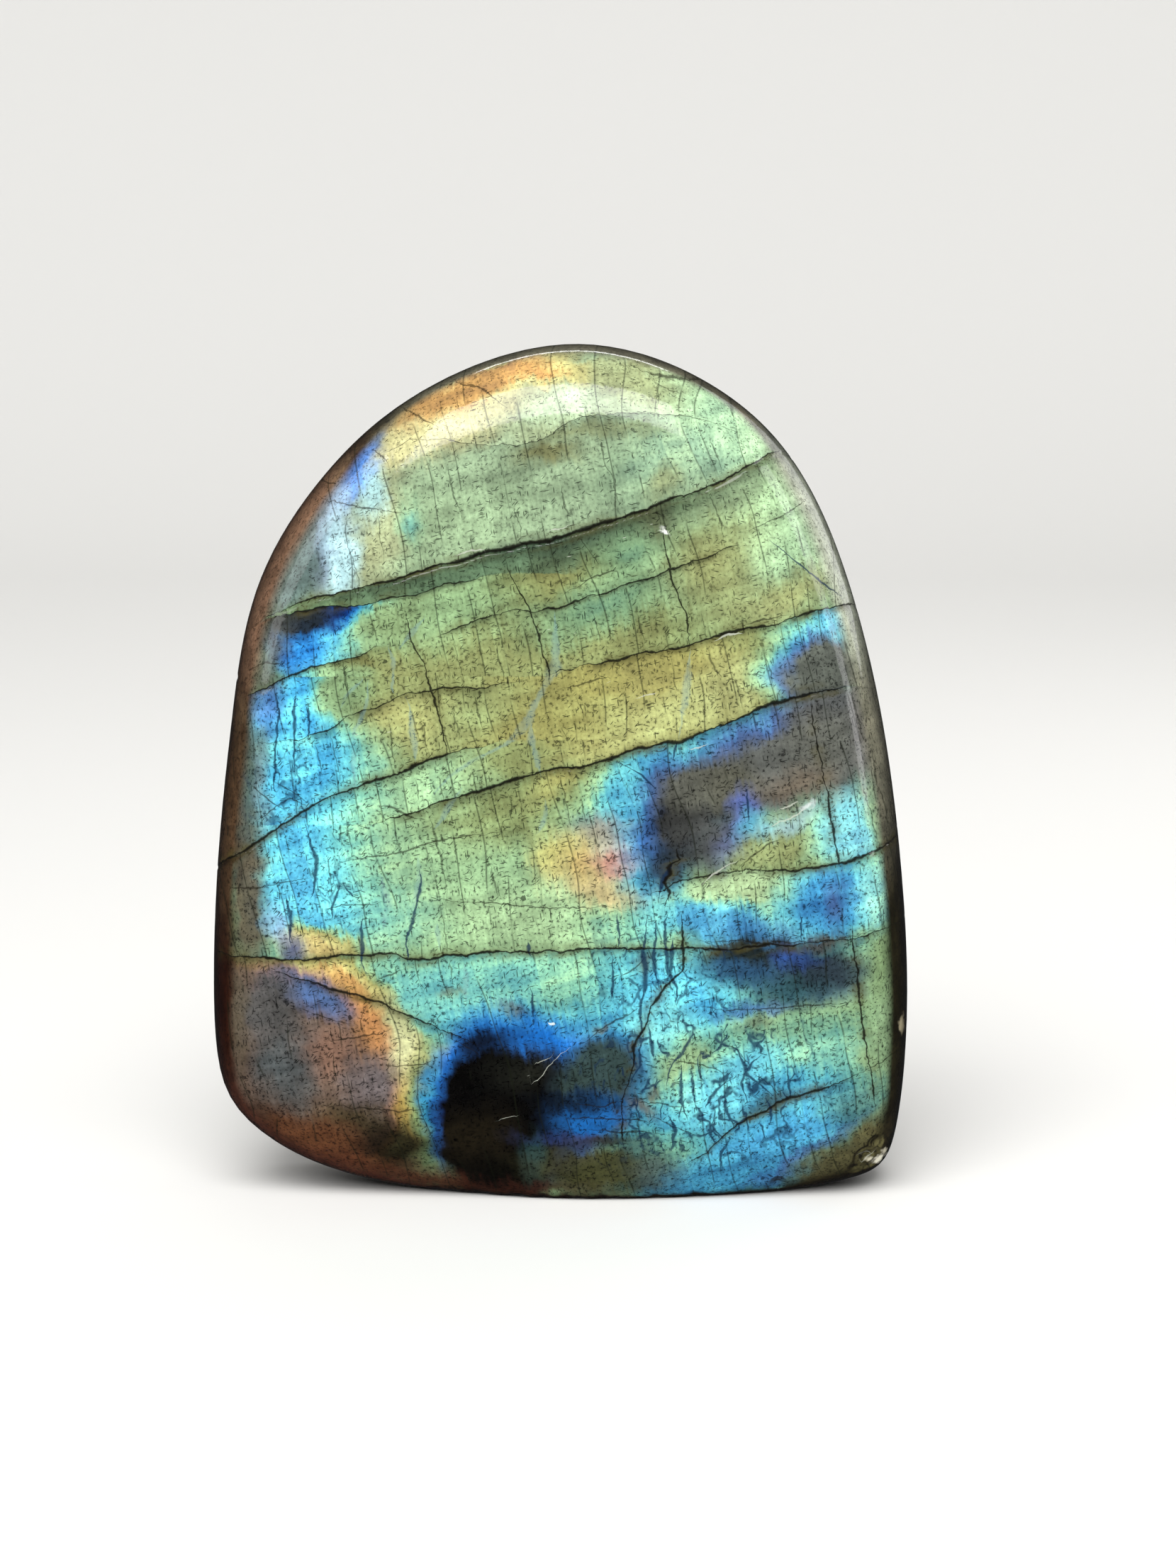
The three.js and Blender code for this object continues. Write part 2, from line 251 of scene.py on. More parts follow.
INK_VEINS = [  # upright, dark blue
    (0.65, [(-28.8, 36.3), (-28.1, 38.6), (-27.8, 41.3), (-28.6, 43), (-29.3, 46)]),
    (0.52, [(-32.8, 49), (-32.6, 54.9), (-32.3, 58.1), (-32.5, 60.5)]),
    (0.45, [(-30.2, 50.3), (-30.5, 56.2), (-30.4, 61.2)]),
    (0.45, [(-29, 55), (-28.7, 57.4), (-29, 59.3)]),
    (0.52, [(-26.2, 34), (-26.1, 36), (-25, 38.7)]),
    (0.39, [(-23.4, 36.8), (-25, 38.8)]),
    (0.52, [(-31, 31), (-31, 35), (-31.8, 37)]),
    (0.52, [(-22, 27.5), (-22.6, 29.3), (-22.6, 34.8)]),
    (0.59, [(-17.5, 29.2), (-17.5, 31.7), (-16.6, 35), (-15.7, 38), (-16, 40.6)]),
    (0.52, [(-2.7, 22.8), (-3, 26.8)]),
    (0.52, [(-3.1, 30.3), (-3.4, 32)]),
    (0.65, [(11.8, 26), (11.3, 28.2), (11.4, 30.8), (11.5, 34.5)]),
    (0.59, [(13, 27.2), (12.9, 28.6), (13.5, 32.6)]),
    (0.59, [(11.2, 18), (10.8, 20.7), (10.6, 22.4)]),
    (0.45, [(6.1, 24.8), (6.4, 26.8), (6.4, 28.8), (6.6, 30.6)]),
    (0.39, [(7.2, 31), (7, 33), (6.9, 35.5)]),
    (0.45, [(16.2, 11.7), (15.8, 14.5), (15.7, 17.6)]),
    (0.45, [(15.3, 10.2), (14.4, 12.8), (14.5, 15.3), (14.3, 17.8)]),
    (0.52, [(20.6, 9.8), (19.6, 11.8), (19.4, 14)]),
    (0.52, [(18.5, 7.5), (17.9, 8.8), (17.5, 10.5)]),
    (0.52, [(25.6, 13), (23.8, 14.6), (22.2, 16), (21.1, 18.5), (20.4, 20.2)]),
    (0.39, [(27.1, 13), (26.7, 16.9)]),
    (0.39, [(28.3, 31), (28, 35.2)]),
    (0.7, [(9.4, 19.2), (9.8, 21.4), (9.6, 24.2), (10.2, 27), (10, 30.4), (10.4, 35)]),
    (0.6, [(13.6, 24.2), (13.8, 26.4), (12.6, 29), (12.4, 32), (12.8, 35.6)]),
    (0.5, [(8.2, 14.6), (9.6, 17.2), (9.8, 20)]),
    (0.6, [(17.2, 12), (18.6, 14.4), (20.2, 15.6), (22.4, 15.8)]),
    (0.5, [(12.6, 14.6), (13.2, 17.2), (15.2, 19.4), (16, 22)]),
    (0.5, [(22.2, 12.4), (21.4, 15), (22.6, 17.4), (24.4, 19)]),
    (0.5, [(16.6, 18), (18.6, 19.2), (20, 21.2)]),
    (0.45, [(24.4, 9.4), (25, 11.8), (24, 13.6)]),
    (0.45, [(13.4, 7), (13.6, 9.4), (12.8, 11.4)]),
    (0.45, [(18.8, 3.6), (18.9, 6), (20.4, 8.6)]),
    (0.45, [(22, 45.5), (21.6, 49.8)]),
    (0.45, [(13.6, 55), (13.2, 53)]),
    (0.45, [(11.5, 49.5), (9.5, 51.5), (6.5, 53)]),
    (0.78, [(11.8, 37), (12.2, 39), (13.2, 41.2)]),
    (0.52, [(32.3, 71), (29.8, 73), (27, 75.6), (23.7, 78.2)]),
]
MILK_VEINS = [  # upright, pale grey-blue
    (1.9, [(-14.4, 48.9), (-12, 51.4), (-9.5, 53.1), (-6.1, 54.8), (-3.6, 57.3), (-2.5, 60),
           (-0.6, 62.9), (-0.2, 66.2), (-0.5, 70)]),
    (0.9, [(-22.8, 47.9), (-23.6, 52), (-23.4, 56.3), (-22.3, 58.5), (-21.7, 62.3)]),
    (0.8, [(-25.2, 58.8), (-24.4, 60.5), (-22.8, 62.2)]),
    (0.8, [(-16.3, 52.6), (-16.7, 56.4), (-17.3, 60.3)]),
    (1, [(-16.8, 35.5), (-15.8, 38.5), (-15.9, 42)]),
    (0.9, [(13.8, 55.2), (14.4, 58.8), (14.9, 63.8), (15, 66)]),
    (1, [(-1.9, 51), (-2.8, 54.3), (-3.4, 58)]),
    (1.2, [(-14.2, 45), (-12.5, 47.5), (-11, 50)]),
    (1, [(-18.5, 65.6), (-16.8, 67.7), (-15.4, 69.5)]),
    (0.8, [(-19, 60.5), (-18.8, 63), (-19.4, 66)]),
    (0.9, [(-20.2, 33), (-19.8, 36.5), (-20.5, 40)]),
    (0.8, [(-13.6, 31), (-14, 34.2)]),
    (0.9, [(-2.2, 44.5), (-1.5, 46.3), (-1.4, 48.5)]),
    (0.8, [(-10.5, 24.8), (-10.6, 29.5)]),
]
FEATHER_GLINTS = [  # lying, painted white highlights where the light catches an open crack
    (0.3, [(24, 45.2), (25.4, 45.9), (26.8, 46.3), (28.6, 47.6)]),
    (0.24, [(25.2, 47.3), (26.6, 47.6), (27.6, 48.3)]),
    (0.3, [(16.2, 38.6), (17.6, 39.9), (19.4, 41), (20.6, 41.4)]),
    (0.16, [(-3.6, 15.2), (-2.4, 16), (-1.4, 17.4), (0, 18.9), (1.4, 20)]),
    (0.12, [(-3, 17.8), (-1.8, 18.2), (-0.6, 19)]),
    (0.1, [(-7.4, 10.6), (-6, 11.4), (-4.8, 11.2)]),
    (0.25, [(17.6, 66.6), (19.2, 67.4), (21, 67.6)]),
    (0.2, [(8.6, 60.2), (10, 60.8), (11.2, 60.9)]),
    (0.22, [(14.8, 54.2), (16.2, 54.6), (17.2, 55.2)]),
    (0.3, [(11.2, 79.3), (12.2, 78.9), (12.8, 79.4)]),
    (0.22, [(-12, 76.2), (-10.6, 76.8), (-8.4, 77.2)]),
    (0.2, [(-1.4, 79.2), (0.2, 79.6), (1.4, 80.2)]),
    (0.25, [(35.4, 3.4), (36.4, 4.4), (37.4, 5.6)]),
    (0.22, [(34.8, 5), (36, 5.2), (37, 4.6)]),
]


# ---------------------------------------------------------------- its play of colour
# The flash runs through its colours in a fixed order, from the dark stone through
# blue and green to gold, orange and brown.
FLASH = [
    (0.00, (14, 12, 10)), (0.06, (16, 28, 62)), (0.12, (16, 74, 160)), (0.19, (40, 130, 214)),
    (0.26, (78, 182, 228)), (0.31, (106, 205, 216)), (0.37, (136, 210, 184)),
    (0.43, (164, 208, 156)), (0.51, (160, 178, 118)), (0.59, (186, 182, 108)),
    (0.67, (216, 208, 130)), (0.75, (214, 164, 92)), (0.83, (190, 144, 122)),
    (0.91, (122, 102, 88)), (1.00, (86, 58, 40)),
]

# A patch sets the flash inside a soft oval: its order along FLASH, its glow (how
# bright) and its veil (how milky). The oval has a middle, half its length and width, a
# turn in degrees, and soft, the share of its size over which its edge fades either way.
# under or over names a seam that cuts it off sharply. Later patches lie over earlier
# ones.
Patch = namedtuple("Patch", "name middle size turn soft order glow veil under over",
                   defaults=(0, None, None))
PATCHES = [
    Patch("belly", (0, 42), (60, 60), 0, 0.3, 0.45, 0.9),
    # middle of the stone, between the crown seam and the heart seam
    Patch("khaki field", (-8, 64), (26, 10), 14, 0.5, 0.535, 0.92, 0.02, "crown_seam", "wing_seam"),
    Patch("sage under the crown", (-12, 71), (12, 4), 12, 0.7, 0.46, 0.9, 0, "crown_seam"),
    Patch("moss under the crown", (1, 75), (7, 2.6), 18, 0.8, 0.55, 0.66, 0, "crown_seam"),
    Patch("teal under the crown", (9, 76.5), (5, 3), 18, 0.9, 0.42, 0.66, 0, "crown_seam"),
    Patch("teal stream", (5, 70.5), (8, 2.2), 18, 0.9, 0.42, 0.72),
    Patch("grey teal", (15.5, 74), (4, 3), 18, 0.8, 0.44, 0.68, 0.03),
    Patch("shoulder right", (24, 80), (11, 7), 28, 0.6, 0.46, 1.3, 0.12, "crown_seam"),
    Patch("khaki right", (19.5, 75.5), (6, 5), 15, 0.8, 0.54, 0.92, 0.05, "crown_seam"),
    Patch("pale shoulder", (28, 77.5), (6, 7), -30, 0.7, 0.44, 1.35, 0.18, "crown_seam"),
    Patch("straw right", (26, 71.8), (6, 2.2), 18, 0.9, 0.54, 1.05, 0.08, None, "gold_seam"),
    Patch("gold field", (10, 60), (20, 7.5), 13, 0.5, 0.575, 0.98, 0, "gold_seam", "heart_seam"),
    Patch("brown gold", (8.6, 62.8), (9, 2.3), 13, 0.8, 0.61, 0.78, 0, "gold_seam", "heart_seam"),
    Patch("bright gold", (10, 57.6), (11, 3.2), 15, 0.9, 0.55, 1.6, 0.1, "gold_seam", "heart_seam"),
    Patch("straw middle", (-10, 57.6), (7, 2.8), 15, 0.9, 0.5, 1.05, 0.03, "fern_seam", "wing_seam"),
    Patch("bright gold right", (21, 61.5), (5, 4), 14, 0.9, 0.55, 1.25, 0.1, "gold_seam",
          "heart_seam"),
    Patch("gold left", (-1.5, 57), (8, 4), 14, 0.8, 0.58, 0.86, 0, "gold_seam", "heart_seam"),
    Patch("straw left", (-19, 56.5), (7, 3.5), 20, 0.7, 0.56, 1.2, 0.05, "fern_seam", "wing_seam"),
    Patch("pale left", (-22.5, 53), (3.5, 4), 20, 0.8, 0.41, 1.1, 0.06, None, "wing_seam"),
    Patch("stream below the wing", (-15, 50), (9, 2.8), 20, 0.7, 0.43, 1.4, 0.06, "wing_seam",
          "heart_seam"),
    Patch("khaki below the wing", (-5, 53), (5, 2), 14, 0.8, 0.52, 0.95, 0, "wing_seam",
          "heart_seam"),
    # below the heart seam
    Patch("olive belly", (-4, 46.5), (13, 4.5), 14, 0.6, 0.51, 0.9, 0, "heart_seam"),
    Patch("gold under the heart", (2, 49.5), (4.5, 3), 14, 0.7, 0.59, 1.02, 0, "heart_seam"),
    Patch("green belly", (-10, 38), (14, 5.5), 4, 0.7, 0.44, 1.08, 0.03),
    Patch("lime belly", (-1, 35), (13, 4), 0, 0.7, 0.455, 1.25, 0.1, None, "low_seam"),
    Patch("pale left belly", (-19.5, 42), (5, 5), 10, 0.8, 0.42, 1.0, 0.04, "heart_seam"),
    Patch("aqua left belly", (-23, 34), (7, 4), 4, 0.8, 0.35, 1.0, 0.05, None, "low_seam"),
    Patch("aqua belly right", (9, 33), (6, 3), 0, 0.8, 0.37, 1.06, 0.02, None, "low_seam"),
    Patch("aqua waist", (-6, 26), (20, 5.5), 0, 0.5, 0.36, 1.22, 0.02, "low_seam"),
    Patch("green waist", (4, 27.6), (7, 3), 10, 0.9, 0.38, 1.1, 0, "low_seam"),
    # azure flank
    Patch("azure flank", (-30.8, 47), (7.6, 13), 4, 0.8, 0.285, 1.45),
    Patch("azure belly", (-30.5, 36.5), (5.2, 5.6), 4, 0.8, 0.285, 1.4, 0.03, None, "low_seam"),
    Patch("bright azure", (-28.6, 52.5), (4.4, 4), 20, 0.8, 0.27, 1.3, 0, None, "wing_seam"),
    Patch("azure shoulder", (-30.5, 59.5), (3.8, 5), -8, 0.6, 0.265, 1.4, 0, "shoulder_seam",
          "fern_seam"),
    Patch("green shoulder", (-24.5, 61), (3.5, 2.6), 14, 0.7, 0.46, 0.84, 0, "shoulder_seam"),
    Patch("upper shoulder", (-26.6, 66.6), (6, 3.6), 22, 0.5, 0.335, 1.25, 0.08, "wedge_seam",
          "shoulder_seam"),
    Patch("vivid shoulder", (-30.3, 66.3), (3.6, 4), -22, 0.55, 0.205, 1.3, 0, "wedge_seam",
          "shoulder_seam"),
    Patch("deep blue shoulder", (-25.5, 70.4), (5, 1.9), 12, 0.7, 0.1, 1.0, 0, "wedge_seam"),
    Patch("pale upper shoulder", (-20.5, 68.5), (4, 2.4), 20, 0.8, 0.47, 1.0, 0, "wedge_seam"),
    # top block, over the crown seam
    Patch("top block", (0, 89), (40, 17), 14, 0.1, 0.45, 0.72, 0.2, None, "crown_seam"),
    Patch("top mint", (15, 88.5), (9, 4), 22, 0.8, 0.415, 1.02, 0.22, None, "crown_seam"),
    Patch("top sage", (-13, 79.5), (9, 4.5), 12, 0.8, 0.455, 1.0, 0.2, None, "crown_seam"),
    Patch("top straw", (-21.2, 78.5), (3, 7), -8, 0.8, 0.53, 1.2, 0.3, None, "crown_seam"),
    Patch("top aqua spot", (-17.5, 80), (1.6, 2), 0, 0.9, 0.38, 1.0, 0.1, None, "crown_seam"),
    # flash colour, partly a painted highlight: brighter and milkier on the crown
    Patch("crown pale", (4, 93.4), (25, 5.6), 0, 0.5, 0.47, 1.4, 0.38, None, "crown_edge"),
    Patch("crown gold", (-14.5, 90.8), (11, 2.8), 27, 0.8, 0.665, 1.4, 0.34),
    Patch("crown orange", (-10, 95.6), (13, 2), 24, 0.6, 0.75, 1.0, 0.06),
    Patch("crown spark", (-1, 97.2), (5, 1.1), 4, 0.8, 0.77, 1.1, 0.05),
    Patch("crown lime", (10, 96.2), (8.4, 2), -10, 0.7, 0.52, 1.25, 0.2),
    # flash colour, partly a painted highlight: brighter and milkier on the crown
    Patch("crown green", (20, 92), (7.4, 4.2), -40, 0.6, 0.43, 1.9, 0.3, None, "crown_seam"),
    # east side
    Patch("lime east", (21, 37.5), (11, 3.6), 6, 0.6, 0.47, 1.6, 0.18, "east_seam", "low_seam"),
    Patch("green below lime", (24, 34), (8, 1.8), 0, 0.8, 0.4, 1.1, 0.05, "east_seam"),
    Patch("azure below lime", (17.5, 34), (7, 2.3), -4, 0.7, 0.285, 1.3, 0.05, "east_seam",
          "low_seam"),
    Patch("lime over east", (24.5, 42.3), (5, 2), 20, 0.8, 0.52, 1.1, 0.05, None, "east_seam"),
    Patch("cyan rim", (17, 51.2), (17, 6.5), 22, 0.35, 0.3, 1.02, 0.03, "heart_seam"),
    Patch("cyan rim lower", (10, 44), (4.8, 9), 4, 0.5, 0.28, 0.98, 0.02, "heart_seam"),
    Patch("cyan over heart", (28.8, 64.3), (5, 5.2), 0, 0.5, 0.3, 1.15, 0.05, "gold_seam",
          "heart_seam"),
    Patch("cyan corner", (32, 68), (2.6, 3), -20, 0.7, 0.29, 1.3, 0.1, "gold_seam"),
    Patch("cyan east", (33.5, 45.5), (5, 6), 10, 0.55, 0.31, 1.6, 0.22, None, "east_seam"),
    Patch("green east edge", (37.6, 45), (1.6, 8), 8, 0.8, 0.42, 1.05, 0.1, None, "east_seam"),
    Patch("azure east", (31.5, 36.5), (5.5, 5.4), 0, 0.6, 0.235, 0.98, 0.02, "east_seam"),
    Patch("cyan east edge", (37, 37), (2.4, 5), 4, 0.7, 0.33, 1.5, 0.2, "east_seam"),
    # foot, right of the night
    Patch("cyan low", (13.5, 24.5), (8.5, 8), 0, 0.6, 0.275, 1.35, 0, "low_seam"),
    Patch("bright waist edge", (0, 22.3), (13, 2), 2, 0.8, 0.29, 1.1),
    Patch("cyan foot", (21, 11), (15, 8.5), 12, 0.5, 0.27, 0.88),
    Patch("green foot", (27, 21), (8.5, 2.8), 0, 0.8, 0.4, 0.84),
    Patch("pale foot", (29, 18.2), (6.5, 1.7), 6, 0.9, 0.37, 1.12, 0.05),
    Patch("straw foot", (15, 17), (3.8, 3.4), 0, 0.9, 0.45, 1.0, 0.04),
    Patch("milk foot", (18, 12.4), (4, 2.6), -30, 0.9, 0.29, 1.3, 0.06),
    Patch("bright foot", (21.5, 16.6), (4.4, 2.4), 24, 0.9, 0.295, 1.35, 0.06),
    Patch("bright waist", (12, 22), (3, 3), 20, 0.9, 0.31, 1.35, 0.08),
    Patch("aqua toe", (12, 7.4), (4, 2.2), 0, 0.8, 0.36, 0.8),
    Patch("blue toe", (25.4, 7.2), (11, 3), 28, 0.7, 0.255, 1.4, 0.03),
    Patch("bottom edge", (19, 2.4), (11, 2.8), 4, 0.7, 0.25, 0.95),
    Patch("green heel", (37.5, 22), (2.2, 9), 0, 0.8, 0.45, 0.8, 0.04),
    Patch("dusk heel", (35, 12), (4, 3.4), 20, 0.7, 0.33, 0.46, 0.05),
    # lower left: from aqua through gold to mauve and brown
    Patch("mauve", (-32.5, 15.5), (15, 13.5), -24, 0.26, 0.93, 0.95, 0, "low_seam"),
    Patch("orange edge", (-24.6, 27), (4.4, 2), -28, 0.8, 0.75, 1.15, 0.05, "low_seam"),
    Patch("orange brow", (-28, 31), (4.6, 1.9), -12, 0.7, 0.69, 1.3, 0.1, None, "low_seam"),
]

# A glaze lays a colour straight over the flash inside a soft oval.
Glaze = namedtuple("Glaze", "name middle size turn soft colour strength under over",
                   defaults=(None, None))
GLAZES = [
    # top block
    Glaze("slate crown", (-24.3, 88), (3.2, 6.5), -48, 0.4, (92, 104, 98), 0.9),
    Glaze("lilac band", (-26.4, 79), (1.9, 5), -14, 0.8, (172, 190, 250), 0.9, None, "crown_seam"),
    Glaze("vivid band", (-22.6, 85.6), (1.5, 4.4), -30, 0.8, (84, 150, 238), 0.95),
    Glaze("sky band", (-25, 75), (1.8, 6), 4, 0.8, (206, 250, 255), 1, None, "crown_seam"),
    Glaze("sky band upper", (-21.3, 83), (1.1, 3), -20, 0.9, (176, 230, 240), 0.7, None,
          "crown_seam"),
    Glaze("grey corner", (-31, 75.6), (3.6, 8), -24, 0.4, (104, 126, 122), 0.95, None,
          "crown_seam"),
    Glaze("olive spot", (-1.5, 88), (3.4, 1.3), 6, 0.9, (112, 104, 54), 0.75),
    Glaze("olive smear", (3, 90.7), (9, 0.9), 2, 0.9, (132, 136, 88), 0.6),
    Glaze("khaki spot", (12, 84.7), (1.8, 1.6), 30, 0.9, (150, 148, 96), 0.6, None, "crown_seam"),
    # below the crown, with painted shade beneath the crown seam
    Glaze("crown ledge", (-10, 75), (18, 4), 14, 0.3, (92, 124, 98), 0.75, "crown_seam",
          "wedge_seam"),
    Glaze("dark ledge", (4, 78.8), (8, 1.3), 16, 0.8, (62, 76, 62), 0.6, "crown_seam"),
    Glaze("brown ledge", (11, 81), (2.6, 1.7), -50, 0.8, (92, 92, 62), 0.75, "crown_seam"),
    Glaze("grey ledge", (19, 83.5), (7, 1.6), 24, 0.8, (120, 136, 108), 0.6, "crown_seam"),
    Glaze("dusk shoulder", (-30.4, 69.2), (4.2, 2.1), 8, 0.4, (38, 46, 50), 0.97, "wedge_seam"),
    Glaze("dusk side", (-33.8, 64.5), (2.6, 5), -8, 0.5, (92, 92, 84), 0.9),
    Glaze("lilac side", (-33.8, 58.7), (1.3, 2.4), -10, 0.9, (80, 124, 220), 0.7, "shoulder_seam"),
    Glaze("slate side", (-37, 51), (2.9, 10), 3, 0.5, (84, 92, 86), 0.9),
    Glaze("pale side", (-34.6, 51), (1, 6), 3, 0.9, (140, 176, 190), 0.5),
    Glaze("slate side lower", (-36.2, 37), (2.4, 8), 2, 0.5, (104, 90, 70), 0.95),
    Glaze("lilac belly", (-32.4, 33.4), (1.5, 2), 10, 0.9, (164, 178, 232), 0.65, None, "low_seam"),
    Glaze("blue brow", (-31, 30.6), (1.6, 1.5), 0, 0.8, (66, 84, 150), 0.8, None, "low_seam"),
    # the island without flash, east of the heart
    Glaze("island rim top", (29.6, 63.4), (4.4, 4), 0, 0.3, (80, 124, 206), 0.9, "gold_seam",
          "heart_seam"),
    Glaze("island rim", (24.6, 54), (12.2, 5), 24, 0.4, (74, 106, 178), 0.93, "heart_seam"),
    Glaze("island rim left", (12.6, 46), (3.9, 7.2), -4, 0.4, (62, 108, 190), 0.9, "heart_seam"),
    Glaze("island rim right", (19.4, 44.2), (2.4, 4), -30, 0.7, (104, 112, 178), 0.85, "heart_seam"),
    Glaze("island top", (31, 63), (5, 3.9), 0, 0.3, (104, 108, 94), 0.97, None, "heart_seam"),
    Glaze("island east", (31.5, 55.6), (6, 7), -6, 0.4, (104, 106, 104), 0.97, "heart_seam"),
    Glaze("island middle", (26, 52.7), (9.8, 4.4), 22, 0.4, (106, 108, 100), 0.97, "heart_seam"),
    Glaze("island west", (16.6, 49.4), (6.2, 3.7), 14, 0.4, (100, 100, 86), 0.97, "heart_seam"),
    Glaze("island night", (13.6, 45.5), (3.6, 2.2), 4, 0.6, (32, 30, 24), 0.97, "heart_seam"),
    Glaze("island ash", (15.8, 43.6), (3.9, 3.8), -10, 0.5, (78, 80, 78), 0.95, "heart_seam"),
    Glaze("island tail", (12.4, 40.6), (2.5, 2.8), -20, 0.6, (44, 56, 60), 0.9, None, "east_seam"),
    Glaze("island ochre", (27.4, 49.4), (4, 2.4), 10, 0.9, (128, 114, 96), 0.8, "heart_seam"),
    Glaze("violet island", (21, 47.5), (1.6, 2), -20, 0.9, (104, 128, 212), 0.75),
    Glaze("azure re-entrant", (22, 45.3), (1.7, 1.5), 20, 0.9, (104, 196, 226), 0.8),
    Glaze("white re-entrant", (26, 45.6), (2.4, 1), 22, 0.9, (160, 200, 226), 0.55),
    Glaze("east slate", (35.3, 57), (1.5, 8), 6, 0.6, (122, 120, 116), 0.85),
    # ember
    Glaze("ember lilac", (4.3, 44.8), (3.2, 1.7), -6, 0.8, (172, 166, 152), 0.85, "heart_seam"),
    Glaze("ember orange", (2.2, 41.2), (3.2, 2.6), -20, 0.95, (224, 184, 112), 0.8),
    Glaze("ember rose", (6.2, 41.4), (2.2, 1.7), 16, 0.95, (206, 140, 124), 0.85),
    Glaze("ember straw", (-1.4, 42.4), (2.3, 2.2), 0, 0.9, (206, 198, 116), 0.7),
    Glaze("ember foot", (5, 38), (3.6, 1.3), -8, 0.9, (214, 186, 134), 0.75),
    # slate zone
    Glaze("slate blue rim", (22.5, 32.4), (6, 1.8), -8, 0.9, (66, 140, 208), 0.85),
    Glaze("slate pool", (25.5, 28.6), (8.5, 3.4), -8, 0.5, (40, 96, 150), 0.85),
    Glaze("slate west", (20.5, 29.4), (5, 1.8), -4, 0.7, (44, 84, 120), 0.9),
    Glaze("slate", (22.5, 30.8), (6, 1.1), 0, 0.6, (36, 46, 42), 0.95),
    Glaze("slate east", (30, 28.4), (4.5, 2.6), 0, 0.6, (44, 56, 66), 0.95),
    Glaze("slate violet", (27.6, 30.2), (2.2, 1), -6, 0.9, (50, 92, 180), 0.6),
    Glaze("slate brown", (31.5, 31.7), (3, 0.8), 4, 0.8, (84, 64, 48), 0.85),
    Glaze("slate teal", (26, 26.4), (4, 1.8), 0, 0.8, (58, 102, 108), 0.85),
    Glaze("violet thread", (21.5, 24), (4, 0.8), 8, 0.9, (46, 88, 184), 0.7),
    Glaze("east plum", (31.8, 36.2), (1.3, 2.4), -6, 0.9, (96, 104, 160), 0.55),
    Glaze("east olive", (37.4, 29), (1.8, 4), 0, 0.8, (138, 168, 116), 0.8),
    Glaze("rust thread", (23, 22.4), (2, 0.8), 14, 0.9, (82, 62, 50), 0.6),
    # the night, black and without flash
    Glaze("night halo", (-5, 12.9), (10.9, 10.7), 0, 0.2, (12, 124, 230), 0.97),
    Glaze("night halo east", (5.5, 17), (5.5, 5), 0, 0.35, (34, 124, 196), 0.85),
    Glaze("night slate", (-3.5, 12), (7, 7.4), 0, 0.3, (28, 34, 34), 0.97),
    Glaze("night", (-7, 11), (7, 8.8), 0, 0.2, (9, 8, 7), 1),
    Glaze("night foot", (-7.5, 4), (6.5, 6), 0, 0.3, (14, 12, 9), 1),
    Glaze("night spur", (-13, 11.5), (3.4, 1.1), 14, 0.7, (11, 9, 8), 0.95),
    Glaze("night spur upper", (-8.5, 20), (3.4, 1.2), 26, 0.7, (11, 10, 10), 0.9),
    Glaze("night spur lower", (-12.6, 5.4), (2.6, 1), -20, 0.7, (16, 13, 9), 0.9),
    Glaze("night umber", (-9.5, 7.6), (3.6, 3), 20, 0.9, (46, 38, 20), 0.8),
    Glaze("night ash", (-4.4, 16.6), (3.4, 2.2), 24, 0.9, (38, 40, 32), 0.8),
    Glaze("night east", (4.6, 16.4), (4.6, 3.8), 10, 0.4, (60, 80, 74), 0.97),
    Glaze("night streaks", (4.2, 11.2), (5, 2.4), 4, 0.6, (14, 100, 176), 0.92),
    Glaze("night seam", (1.5, 13), (4, 1), 0, 0.8, (10, 22, 34), 0.85),
    Glaze("violet toe", (0.5, 8.5), (4.4, 0.9), 0, 0.9, (56, 76, 140), 0.6),
    Glaze("aqua heel", (-3.4, 5.2), (1.4, 3), 0, 0.9, (50, 96, 100), 0.8),
    Glaze("olive toe", (4.6, 4.2), (8.8, 3.5), 0, 0.5, (76, 74, 38), 0.97),
    Glaze("umber toe", (5.5, 8.3), (4, 0.9), -2, 0.8, (58, 46, 28), 0.85),
    Glaze("ash toe", (11.4, 4.4), (2.6, 2.6), 10, 0.9, (92, 112, 108), 0.7),
    Glaze("rust foot", (-8, 1.2), (12, 1.1), 0, 0.7, (84, 44, 30), 0.8),
    # fringe of the night on its left
    Glaze("fringe gold", (-17.6, 12), (1.6, 6.5), 4, 0.8, (206, 178, 94), 0.85),
    Glaze("fringe lime", (-19, 19.6), (1.8, 4.6), 10, 0.8, (228, 232, 176), 0.9),
    Glaze("fringe green", (-16.1, 11), (0.9, 6), 4, 0.9, (140, 180, 120), 0.8),
    Glaze("fringe cyan", (-14.8, 11.5), (0.9, 5.5), 4, 0.9, (56, 160, 196), 0.85),
    Glaze("fringe blue", (-13.9, 9), (0.7, 4.5), 0, 0.9, (16, 70, 150), 0.85),
    # lower left
    Glaze("violet bar", (-29, 25.6), (4.6, 1.8), -28, 0.8, (84, 120, 176), 0.9, "low_seam"),
    Glaze("rose mauve", (-27.5, 18.5), (3.2, 2.6), 0, 0.8, (156, 118, 98), 0.8),
    Glaze("orange heart", (-22.3, 21.4), (1.7, 3.8), 10, 0.7, (222, 158, 96), 0.9),
    Glaze("ash mauve", (-22.5, 14.3), (2.6, 3.2), 0, 0.8, (124, 116, 118), 0.8),
    Glaze("slate mauve", (-32, 17), (2.8, 5), 0, 0.8, (78, 92, 96), 0.8),
    Glaze("slate margin", (-34, 24.5), (3, 4), 0, 0.7, (88, 90, 90), 0.85),
    Glaze("olive heel", (-24.5, 10), (5, 2), -4, 0.8, (84, 70, 42), 0.85),
    Glaze("brown heel", (-29, 6.5), (9, 3.6), -14, 0.5, (122, 74, 42), 0.95),
    Glaze("dark heel", (-20, 6.8), (5, 3.6), -8, 0.6, (28, 24, 11), 0.95),
